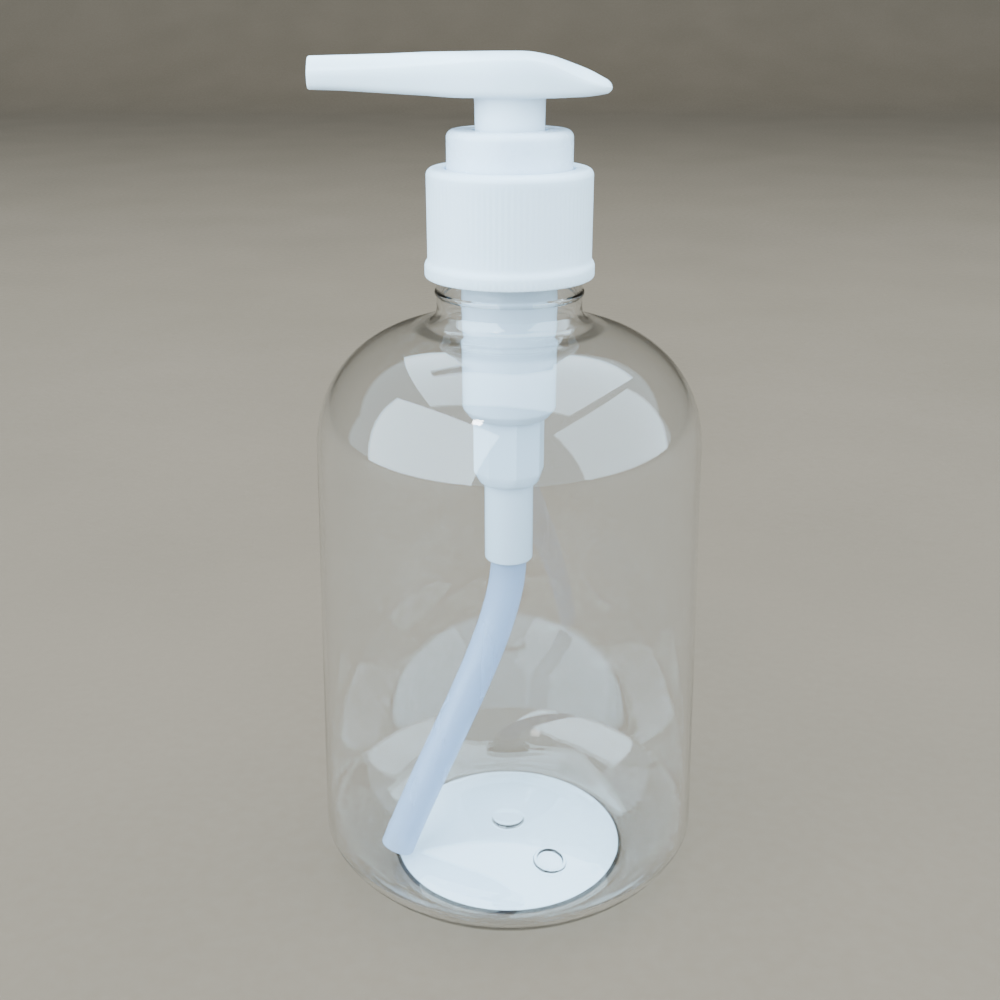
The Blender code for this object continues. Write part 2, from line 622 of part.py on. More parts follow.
def build_stem() -> None:
    """Hollow rod from the piston up into the head: its own zero height is at its foot."""
    foot = PISTON_FOOT + 3.0 * MM
    shoulder = SHOULDER_TOP - foot
    top = HEAD_Z + 2.2 * MM - foot
    shoulder_radius = min(STEM_RADIUS + 2.0 * MM, HOUSING_BORE - PISTON_WALL)
    profile = [
        (STEM_BORE_RADIUS, 0.0),
        (STEM_RADIUS, 0.0),
        (STEM_RADIUS, shoulder - STEM_SHOULDER),
        (shoulder_radius, shoulder - STEM_SHOULDER),
        (shoulder_radius, shoulder),
        (STEM_RADIUS, shoulder),
        (STEM_RADIUS, top),
        (STEM_BORE_RADIUS, top),
    ]
    turned("stem", profile, plastic("stem_pp", (0.88, 0.9, 0.93), 0.35), SMALL_SEGMENTS, z=foot)


def head_section(along: float, width: float, bottom: float, top: float) -> list:
    """One outline across the head: crowned on top, rounded along its lower edges."""
    x = along * (NOZZLE_REACH if along < 0 else THUMB_REACH)
    half = max(NOZZLE_HALF_WIDTH + width * (PAD_HALF_WIDTH - NOZZLE_HALF_WIDTH), 1.2 * MM)
    low = bottom * HEAD_HEIGHT
    high = top * HEAD_HEIGHT
    crown = min(2.4 * MM - 1.2 * MM * max(width, 0.0), 0.4 * (high - low))
    edge = min(0.9 * MM, 0.3 * (high - low), 0.4 * half)
    side = [
        (0.45 * half, high - 0.18 * crown),
        (0.8 * half, high - 0.55 * crown),
        (half, high - crown),
        (half, low + edge),
        (half - edge, low),
    ]
    right = [(x, y, z) for y, z in side]
    left = [(x, -y, z) for y, z in reversed(side)]
    return [(x, 0.0, high), *right, *left]


def build_head() -> None:
    """Actuator with its sleeve: its own zero height is at the underside of the thumb pad."""
    sleeve_foot = SLEEVE_FOOT - HEAD_Z
    white = plastic("white_pp_head", (0.92, 0.94, 0.96), 0.3)
    rings = [head_section(*station) for station in HEAD_STATIONS]
    head = finish_mesh("pump_head", lofted_mesh(rings), white, HEAD_Z)
    sleeve = [(0.0, sleeve_foot), (SLEEVE_RADIUS - SLEEVE_DRAFT, sleeve_foot)]
    sleeve += [(SLEEVE_RADIUS, 0.0), (SLEEVE_RADIUS, 3.0 * MM), (0.0, 3.0 * MM)]
    add_boolean(head, turned("sleeve_form", sleeve, None, closed=False, z=HEAD_Z), "UNION")
    bore_top = 2.5 * MM
    channel_z = 0.54 * HEAD_HEIGHT
    bore = [(0.0, sleeve_foot - 2 * MM), (SLEEVE_BORE, sleeve_foot - 2 * MM), (SLEEVE_BORE, bore_top)]
    bore += [(STEM_BORE_RADIUS, bore_top), (STEM_BORE_RADIUS, channel_z + 1.2 * MM)]
    bore += [(0.0, channel_z + 1.2 * MM)]
    add_boolean(head, turned("stem_bore_form", bore, None, closed=False, z=HEAD_Z), "DIFFERENCE")
    bm = bmesh.new()
    bmesh.ops.create_cone(bm, cap_ends=True, segments=16, radius1=OUTLET_RADIUS, radius2=OUTLET_RADIUS,
                          depth=NOZZLE_REACH + 2 * MM)
    outlet = finish_mesh("outlet_form", bm, None, HEAD_Z + channel_z)
    outlet.location.x = -(NOZZLE_REACH + 2 * MM) / 2
    outlet.rotation_euler.y = math.pi / 2
    add_boolean(head, outlet, "DIFFERENCE")


def main() -> None:
    clear_scene()
    build_bottle()
    build_base_label()
    build_closure()
    build_gasket()
    build_chaplet()
    build_housing()
    build_dip_tube()
    build_inlet_ball()
    build_ball_retainer()
    build_spring()
    build_valve_plug()
    build_piston()
    build_stem()
    build_head()


main()
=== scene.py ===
"""Looks of a soap pump dispenser: a clear bottle with a white lotion pump screwed on it.

Every piece is a turned, swept or lofted mesh in metres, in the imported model's own frame: +Z up, the
nozzle towards -X, the bottle standing on z = 0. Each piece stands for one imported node.
"""

import logging
import math
from bisect import bisect
from dataclasses import dataclass, field
from enum import Enum
from typing import Callable, Sequence

import bmesh
import bpy
from mathutils import Matrix, Vector


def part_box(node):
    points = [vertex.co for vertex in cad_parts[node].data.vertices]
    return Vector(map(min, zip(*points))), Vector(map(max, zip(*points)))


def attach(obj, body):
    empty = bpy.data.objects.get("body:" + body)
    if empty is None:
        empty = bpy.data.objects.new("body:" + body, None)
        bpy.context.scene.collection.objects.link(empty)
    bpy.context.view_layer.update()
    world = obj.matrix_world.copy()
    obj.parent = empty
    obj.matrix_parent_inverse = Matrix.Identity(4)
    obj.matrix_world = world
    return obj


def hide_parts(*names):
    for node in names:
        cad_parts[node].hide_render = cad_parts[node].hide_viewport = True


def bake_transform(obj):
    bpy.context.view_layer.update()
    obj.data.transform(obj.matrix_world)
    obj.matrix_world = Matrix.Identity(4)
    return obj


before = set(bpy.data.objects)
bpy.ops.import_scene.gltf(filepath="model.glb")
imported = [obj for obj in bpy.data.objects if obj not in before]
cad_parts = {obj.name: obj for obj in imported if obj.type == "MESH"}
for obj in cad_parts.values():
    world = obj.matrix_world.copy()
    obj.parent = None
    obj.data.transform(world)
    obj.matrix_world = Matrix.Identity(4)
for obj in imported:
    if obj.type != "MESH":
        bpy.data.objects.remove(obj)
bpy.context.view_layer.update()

MM = 0.001
FULL_TURN = 2 * math.pi
SHARP_ANGLE = math.radians(38)
WELD = 0.0005 * MM
PATTERN_LOW, PATTERN_HIGH = 0.3, 0.7  # where nearly all of a noise pattern's values lie

Point = tuple[float, float]
Corner = tuple[float, float, float]
Colour = tuple[float, float, float]

log = logging.getLogger("soap_pump")


class Join(Enum):
    """How a second solid changes the first."""

    ADD = "UNION"
    CUT = "DIFFERENCE"


# ---------------------------------------------------------------- materials


class Graph:
    """A material's node tree, with short ways to add nodes and to join them."""

    def __init__(self, name: str) -> None:
        """Starts a material with a Principled shader in it.

        Args:
            name: the material's name.
        """
        self.material = bpy.data.materials.new(name)
        self.material.use_nodes = True
        self.tree = self.material.node_tree
        self.shader = self.tree.nodes["Principled BSDF"]
        self.output = self.tree.nodes["Material Output"]
        self.place = self.node("ShaderNodeTexCoord").outputs["Object"]

    def node(self, kind: str, **values: object) -> bpy.types.Node:
        """Adds a node.

        Args:
            kind: the node's type name.
            values: input sockets by name with underscores for spaces, or the node's own properties.

        Returns:
            The new node.
        """
        made = self.tree.nodes.new(kind)
        for key, value in values.items():
            socket = made.inputs.get(key.replace("_", " "))
            if socket is None:
                setattr(made, key, value)
            elif isinstance(value, bpy.types.NodeSocket):
                self.tree.links.new(value, socket)
            else:
                socket.default_value = value
        return made

    def noise(
        self, scale: float, detail: float = 2.0, stretch: Corner = (1.0, 1.0, 1.0)
    ) -> bpy.types.NodeSocket:
        """A noise pattern fixed to the piece.

        Args:
            scale: patches per metre.
            detail: how many finer layers it has.
            stretch: scale along each axis.

        Returns:
            The pattern's grey value.
        """
        mapping = self.node("ShaderNodeMapping", Vector=self.place, Scale=stretch)
        placed = mapping.outputs[0]
        return self.node("ShaderNodeTexNoise", Vector=placed, Scale=scale, Detail=detail).outputs[0]

    def blend(
        self, share: bpy.types.NodeSocket, low: Colour, high: Colour
    ) -> bpy.types.NodeSocket:
        """Mixes two colours by a pattern's value.

        Args:
            share: the pattern.
            low: the colour where the pattern is low.
            high: the colour where it is high.

        Returns:
            The mixed colour.
        """
        ramp = self.node("ShaderNodeValToRGB", Fac=share)
        ends = ((PATTERN_LOW, low), (PATTERN_HIGH, high))
        for element, (position, colour) in zip(ramp.color_ramp.elements, ends):
            element.position = position
            element.color = (*colour, 1.0)
        return ramp.outputs[0]

    def spread(
        self, share: bpy.types.NodeSocket, low: float, high: float
    ) -> bpy.types.NodeSocket:
        """Mixes two numbers by a pattern's value.

        Args:
            share: the pattern.
            low: the number where the pattern is low.
            high: the number where it is high.

        Returns:
            The mixed number.
        """
        return self.node(
            "ShaderNodeMapRange", Value=share, From_Min=PATTERN_LOW, From_Max=PATTERN_HIGH,
            To_Min=low, To_Max=high,
        ).outputs[0]

    def relief(self, height: bpy.types.NodeSocket, depth: float, strength: float) -> None:
        """Gives the shader a surface relief of that depth in metres."""
        bump = self.node("ShaderNodeBump", Height=height, Distance=depth, Strength=strength)
        self.tree.links.new(bump.outputs["Normal"], self.shader.inputs["Normal"])

    def feed(self, socket: str, value: object) -> None:
        """Sets or links one of the Principled shader's sockets.

        Args:
            socket: its name.
            value: a number or colour for it, or another node's output.
        """
        if isinstance(value, bpy.types.NodeSocket):
            self.tree.links.new(value, self.shader.inputs[socket])
        else:
            self.shader.inputs[socket].default_value = value

    def show(self, shader: bpy.types.NodeSocket) -> bpy.types.Material:
        """Makes that shader the surface, and returns the material."""
        self.tree.links.new(shader, self.output.inputs["Surface"])
        return self.material


@dataclass(frozen=True)
class MouldedPolypropylene:
    """White injection-moulded plastic: a soft gloss, cloudy depth and a faint flow pattern."""

    name: str
    colour: Colour = (0.77, 0.865, 0.96)
    shade: Colour = (0.73, 0.83, 0.935)
    roughness: float = 0.34
    depth_weight: float = 0.35
    grain: float = 0.02 * MM

    def build(self) -> bpy.types.Material:
        """Makes the material.

        Returns:
            The new material.
        """
        graph = Graph(self.name)
        flow = graph.noise(38.0, 3.0, (1.0, 1.0, 0.45))
        fine = graph.noise(2600.0, 2.0)
        graph.feed("Base Color", graph.blend(flow, self.shade, self.colour))
        gloss = graph.noise(240.0, 3.0)
        graph.feed(
            "Roughness", graph.spread(gloss, self.roughness - 0.05, self.roughness + 0.07)
        )
        graph.feed("IOR", 1.49)
        graph.feed("Subsurface Weight", self.depth_weight)
        graph.feed("Subsurface Radius", (0.8, 0.9, 1.0))
        graph.feed("Subsurface Scale", 2.5 * MM)
        graph.relief(fine, self.grain, 0.25)
        return graph.material


@dataclass(frozen=True)
class NaturalPlastic:
    """Unpigmented polypropylene or polyethylene: milky, with light coming through the wall."""

    name: str
    colour: Colour = (0.78, 0.87, 0.96)
    shade: Colour = (0.72, 0.80, 0.90)
    glow: Colour = (0.80, 0.88, 0.97)
    glow_share: float = 0.35
    clear_share: float = 0.0
    roughness: float = 0.3
    draw_lines: bool = False

    def build(self) -> bpy.types.Material:
        """Makes the material.

        Returns:
            The new material.
        """
        graph = Graph(self.name)
        stretch = (1.0, 1.0, 0.06) if self.draw_lines else (1.0, 1.0, 1.0)
        streaks = graph.noise(420.0 if self.draw_lines else 70.0, 3.0, stretch)
        graph.feed("Base Color", graph.blend(streaks, self.shade, self.colour))
        gloss = graph.noise(300.0, 2.0, stretch)
        graph.feed(
            "Roughness", graph.spread(gloss, self.roughness - 0.06, self.roughness + 0.08)
        )
        graph.feed("IOR", 1.5)
        graph.relief(streaks, 0.03 * MM, 0.3)
        graph.feed("Transmission Weight", self.clear_share)
        glow = graph.node("ShaderNodeBsdfTranslucent", Color=(*self.glow, 1.0))
        milky = graph.node("ShaderNodeMixShader", Fac=self.glow_share)
        graph.tree.links.new(graph.shader.outputs[0], milky.inputs[1])
        graph.tree.links.new(glow.outputs[0], milky.inputs[2])
        return graph.show(milky.outputs[0])


@dataclass(frozen=True)
class ClearPolyester:
    """Blown clear plastic: glossy on both faces, slightly wavy from blowing, lets lamps through."""

    name: str
    colour: Colour = (0.985, 0.99, 0.99)
    shade: Colour = (0.965, 0.975, 0.98)
    wave_depth: float = 0.35 * MM

    def build(self) -> bpy.types.Material:
        """Makes the material.

        Returns:
            The new material.
        """
        graph = Graph(self.name)
        waves = graph.noise(34.0, 1.0, (1.0, 1.0, 0.5))
        graph.feed("Base Color", graph.blend(waves, self.shade, self.colour))
        graph.feed("Roughness", graph.spread(graph.noise(160.0, 3.0), 0.012, 0.035))
        graph.feed("IOR", 1.56)
        graph.feed("Transmission Weight", 1.0)
        graph.relief(waves, self.wave_depth, 0.35)
        rays = graph.node("ShaderNodeLightPath")
        passing = graph.node("ShaderNodeMath", operation="MAXIMUM")
        graph.tree.links.new(rays.outputs["Is Shadow Ray"], passing.inputs[0])
        graph.tree.links.new(rays.outputs["Is Diffuse Ray"], passing.inputs[1])
        through = graph.node("ShaderNodeBsdfTransparent", Color=(0.93, 0.945, 0.95, 1.0))
        mix = graph.node("ShaderNodeMixShader", Fac=passing.outputs[0])
        graph.tree.links.new(graph.shader.outputs[0], mix.inputs[1])
        graph.tree.links.new(through.outputs[0], mix.inputs[2])
        return graph.show(mix.outputs[0])


@dataclass(frozen=True)
class LabelPaper:
    """Coated white paper with short fibres under the coating."""

    name: str
    colour: Colour = (0.80, 0.885, 0.96)
    shade: Colour = (0.76, 0.85, 0.93)

    def build(self) -> bpy.types.Material:
        """Makes the material.

        Returns:
            The new material.
        """
        graph = Graph(self.name)
        fibres = graph.noise(900.0, 6.0, (1.0, 0.35, 1.0))
        graph.feed("Base Color", graph.blend(graph.noise(110.0, 4.0), self.shade, self.colour))
        graph.feed("Roughness", graph.spread(fibres, 0.5, 0.66))
        graph.relief(fibres, 0.03 * MM, 0.3)
        return graph.material


@dataclass(frozen=True)
class DrawnSteel:
    """Bright stainless wire with fine drawing marks."""

    name: str

    def build(self) -> bpy.types.Material:
        """Makes the material.

        Returns:
            The new material.
        """
        graph = Graph(self.name)
        marks = graph.noise(1800.0, 4.0, (1.0, 1.0, 3.0))
        graph.feed("Base Color", graph.blend(marks, (0.50, 0.50, 0.51), (0.63, 0.62, 0.61)))
        graph.feed("Metallic", 1.0)
        graph.feed("Roughness", graph.spread(marks, 0.18, 0.34))
        graph.relief(marks, 0.01 * MM, 0.2)
        return graph.material


@dataclass(frozen=True)
class PressedGlass:
    """Clear glass of a valve ball, faintly green, with a ground surface."""

    name: str

    def build(self) -> bpy.types.Material:
        """Makes the material.

        Returns:
            The new material.
        """
        graph = Graph(self.name)
        ground = graph.noise(700.0, 3.0)
        graph.feed("Base Color", graph.blend(ground, (0.86, 0.94, 0.91), (0.93, 0.98, 0.96)))
        graph.feed("Roughness", graph.spread(ground, 0.03, 0.12))
        graph.feed("IOR", 1.52)
        graph.feed("Transmission Weight", 1.0)
        graph.relief(ground, 0.01 * MM, 0.2)
        return graph.material


@dataclass(frozen=True)
class SealFoam:
    """Closed-cell sealing foam: matt, with small round cells."""

    name: str

    def build(self) -> bpy.types.Material:
        """Makes the material.

        Returns:
            The new material.
        """
        graph = Graph(self.name)
        foam = graph.node("ShaderNodeTexVoronoi", Vector=graph.place, Scale=2200.0)
        cells = foam.outputs["Distance"]
        graph.feed("Base Color", graph.blend(cells, (0.72, 0.74, 0.75), (0.84, 0.85, 0.86)))
        graph.feed("Roughness", graph.spread(cells, 0.75, 0.9))
        graph.relief(cells, 0.08 * MM, 0.5)
        return graph.material


@dataclass(frozen=True)
class StudioFloor:
    """Pale matt board under and behind the object."""

    name: str
    colour: Colour = (0.137, 0.087, 0.0525)
    shade: Colour = (0.124, 0.0785, 0.046)

    def build(self) -> bpy.types.Material:
        """Makes the material.

        Returns:
            The new material.
        """
        graph = Graph(self.name)
        pulp = graph.noise(260.0, 6.0)
        graph.feed("Base Color", graph.blend(graph.noise(9.0, 5.0), self.shade, self.colour))
        graph.feed("Roughness", graph.spread(pulp, 0.62, 0.78))
        graph.relief(pulp, 0.05 * MM, 0.25)
        return graph.material


# ---------------------------------------------------------------- mesh tools


def finished(
    bm: bmesh.types.BMesh, name: str, material: bpy.types.Material | None
) -> bpy.types.Object:
    """Makes an object at the origin from a bmesh, smooth except on its sharp edges.

    Args:
        bm: the mesh, which is freed.
        name: the object's name.
        material: its finish, or None for a form that only shapes another piece.

    Returns:
        The new object, linked to the scene.
    """
    bmesh.ops.remove_doubles(bm, verts=bm.verts, dist=WELD)
    bmesh.ops.recalc_face_normals(bm, faces=bm.faces)
    mesh = bpy.data.meshes.new(name)
    bm.to_mesh(mesh)
    bm.free()
    mesh.shade_smooth()
    mesh.set_sharp_from_angle(angle=SHARP_ANGLE)
    if material is not None:
        mesh.materials.append(material)
    made = bpy.data.objects.new(name, mesh)
    bpy.context.scene.collection.objects.link(made)
    return made


def combined(first: bpy.types.Object, second: bpy.types.Object, how: Join) -> bpy.types.Object:
    """Joins or cuts two closed solids, and removes the second.

    Args:
        first: the piece that is kept.
        second: the solid added to it or cut from it.
        how: which of the two.

    Returns:
        The first piece, with its new mesh.
    """
    modifier = first.modifiers.new("join", "BOOLEAN")
    modifier.operation = how.value
    modifier.solver = "EXACT"
    modifier.object = second
    graph = bpy.context.evaluated_depsgraph_get()
    mesh = bpy.data.meshes.new_from_object(first.evaluated_get(graph))
    first.modifiers.clear()
    old = first.data
    first.data = mesh
    bpy.data.meshes.remove(old)
    bpy.data.objects.remove(second, do_unlink=True)
    mesh.name = first.name
    mesh.shade_smooth()
    mesh.set_sharp_from_angle(angle=SHARP_ANGLE)
    return first


def spun(
    profile: Sequence[Corner], steps: int, closed: bool = True, corner_steps: int = 4
) -> bmesh.types.BMesh:
    """Turns a profile once round Z.

    Args:
        profile: radius, height and rounding of each corner.
        steps: facets round the turn.
        closed: whether the last corner joins the first.
        corner_steps: segments in each rounded corner.

    Returns:
        The turned mesh.
    """
    bm = bmesh.new()
    verts = [bm.verts.new((radius, 0.0, height)) for radius, height, _ in profile]
    pairs = list(zip(verts, verts[1:])) + ([(verts[-1], verts[0])] if closed else [])
    for pair in pairs:
        bm.edges.new(pair)
    for vert, (_, _, rounding) in zip(verts, profile):
        if rounding > 0:
            bmesh.ops.bevel(
                bm, geom=[vert], offset=rounding, offset_type="OFFSET", segments=corner_steps,
                profile=0.5, affect="VERTICES", material=-1,
            )
    bmesh.ops.spin(
        bm, geom=bm.verts[:] + bm.edges[:], cent=(0, 0, 0), axis=(0, 0, 1), angle=FULL_TURN,
        steps=steps, use_merge=True,
    )
    bmesh.ops.remove_doubles(bm, verts=bm.verts, dist=WELD)
    return bm


def reshape(bm: bmesh.types.BMesh, move: Callable[[float, float, float], float]) -> None:
    """Moves points of a turned mesh towards or away from the axis.

    Args:
        bm: the mesh.
        move: takes a point's radius, angle and height, and gives its new radius.
    """
    for vert in bm.verts:
        radius = math.hypot(vert.co.x, vert.co.y)
        if radius > WELD:
            vert.co.xy *= move(radius, math.atan2(vert.co.y, vert.co.x), vert.co.z) / radius


class Loft:
    """A closed skin grown ring by ring, by extruding the edge of its last ring."""

    def __init__(self, first: Sequence[Vector]) -> None:
        """Starts the skin.

        Args:
            first: the points of its first ring.
        """
        self.bm = bmesh.new()
        self.ring: list[bmesh.types.BMVert] = bmesh.ops.create_circle(
            self.bm, cap_ends=False, radius=1.0, segments=len(first))["verts"]
        self.start = self.ring
        self.put(first)

    def put(self, points: Sequence[Vector]) -> None:
        """Places the last ring."""
        for vert, point in zip(self.ring, points):
            vert.co = point

    def edges(self, ring: Sequence[bmesh.types.BMVert]) -> list[bmesh.types.BMEdge]:
        """The edges round a ring."""
        return [self.bm.edges.get((vert, ring[(i + 1) % len(ring)])) for i, vert in enumerate(ring)]

    def grow(self, points: Sequence[Vector]) -> "Loft":
        """Extrudes the last ring by one more.

        Args:
            points: where the new ring's points go.

        Returns:
            The same skin.
        """
        made = set(bmesh.ops.extrude_edge_only(self.bm, edges=self.edges(self.ring))["geom"])
        self.ring = [
            next(edge.other_vert(vert) for edge in vert.link_edges if edge.other_vert(vert) in made)
            for vert in self.ring
        ]
        self.put(points)
        return self

    def capped(self) -> bmesh.types.BMesh:
        """Closes both ends with a face.

        Returns:
            The closed mesh.
        """
        for ring in (self.start, self.ring):
            bmesh.ops.contextual_create(self.bm, geom=self.edges(ring))
        return self.bm

    def joined(self) -> bmesh.types.BMesh:
        """Bridges the last ring back to the first, and returns the mesh."""
        bmesh.ops.bridge_loops(self.bm, edges=self.edges(self.start) + self.edges(self.ring))
        return self.bm


def rings_along(
    route: Sequence[Vector], radius: float, sides: int, aside: Vector
) -> list[list[Vector]]:
    """Circles of points square to a route.

    Args:
        route: the centre line.
        radius: of the circles.
        sides: points in each.
        aside: a direction that the route never takes.

    Returns:
        One circle for each point of the route.
    """
    rings = []
    for i, centre in enumerate(route):
        along = (route[min(i + 1, len(route) - 1)] - route[max(i - 1, 0)]).normalized()
        across = aside.cross(along).normalized()
        up = along.cross(across)
        turns = [FULL_TURN * k / sides for k in range(sides)]
        rings.append([centre + radius * (math.cos(a) * across + math.sin(a) * up) for a in turns])
    return rings


def quarter(power: float, steps: int) -> list[Point]:
    """Shares along a quarter of a superellipse, from its side to its top.

    Args:
        power: 2 for a round quarter, more for a squarer one and less for a flatter one.
        steps: how many parts it has.

    Returns:
        The share across and the share up at each point.
    """
    angles = [math.pi / 2 * i / steps for i in range(steps + 1)]
    return [(max(0.0, math.cos(a)) ** (2 / power), math.sin(a) ** (2 / power)) for a in angles]


def arc(centre: Point, radius: float, start: float, end: float, steps: int) -> list[Corner]:
    """Corners of a profile on an arc.

    Args:
        centre: the arc's centre.
        radius: of the arc.
        start: its first angle in degrees.
        end: its last angle in degrees.
        steps: how many parts it has.

    Returns:
        The corners, with no rounding of their own.
    """
    angles = [math.radians(start + (end - start) * i / steps) for i in range(steps + 1)]
    across, up = centre
    return [(across + radius * math.cos(a), up + radius * math.sin(a), 0.0) for a in angles]


@dataclass(frozen=True)
class Thread:
    """One helical ridge with its ends run out."""

    root: float
    crest: float
    low: float
    lead: float = 4.23 * MM
    turns: float = 1.5
    root_width: float = 2.0 * MM
    crest_width: float = 0.9 * MM
    bite: float = 0.3 * MM
    steps_per_turn: int = 64

    def build(self) -> bpy.types.Object:
        """Makes the ridge as a closed solid that reaches into the wall behind its root.

        Returns:
            The ridge, to be joined to its wall.
        """
        bm = bmesh.new()
        inner = self.root - math.copysign(self.bite, self.crest - self.root)
        section = [(inner, -self.root_width / 2), (self.crest, -self.crest_width / 2),
                   (self.crest, self.crest_width / 2), (inner, self.root_width / 2)]
        verts = [bm.verts.new((radius, 0.0, self.low + height)) for radius, height in section]
        for i, vert in enumerate(verts):
            bm.edges.new((vert, verts[(i + 1) % 4]))
        steps = round(self.turns * self.steps_per_turn)
        bmesh.ops.spin(bm, geom=bm.verts[:] + bm.edges[:], cent=(0, 0, 0), axis=(0, 0, 1),
                       dvec=(0, 0, self.lead * self.turns / steps), angle=FULL_TURN * self.turns,
                       steps=steps, use_merge=False)
        bmesh.ops.holes_fill(bm, edges=[edge for edge in bm.edges if edge.is_boundary], sides=4)
        reshape(bm, self.run_out)
        return finished(bm, "thread_form", None)

    def run_out(self, radius: float, angle: float, height: float) -> float:
        """Lowers the ridge near both of its ends.

        Args:
            radius: a point's distance from the axis.
            angle: its place round the axis.
            height: its height.

        Returns:
            Its new distance from the axis.
        """
        part = (angle / FULL_TURN) % 1.0
        whole = round((height - self.low) / self.lead - part)
        share = (whole + part) / self.turns
        fullness = max(0.0, min(1.0, (0.06 + share) * 6, (1.06 - share) * 6))
        if abs(radius - self.crest) > abs(radius - self.root):
            return radius
        return self.root + (radius - self.root) * fullness


class Piece:
    """What every sub-assembly does: putting a finished mesh on its body, in its node's place."""

    @staticmethod
    def fit(piece: bpy.types.Object, body: str, node: str, slot: str) -> bpy.types.Object:
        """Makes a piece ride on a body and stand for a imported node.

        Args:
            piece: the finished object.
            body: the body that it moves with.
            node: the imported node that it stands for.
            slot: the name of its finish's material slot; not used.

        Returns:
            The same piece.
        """
        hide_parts(node)
        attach(piece, body)
        log.info("%s: %d faces, rides on %s", piece.name, len(piece.data.polygons), body)
        return piece


# ---------------------------------------------------------------- bottle


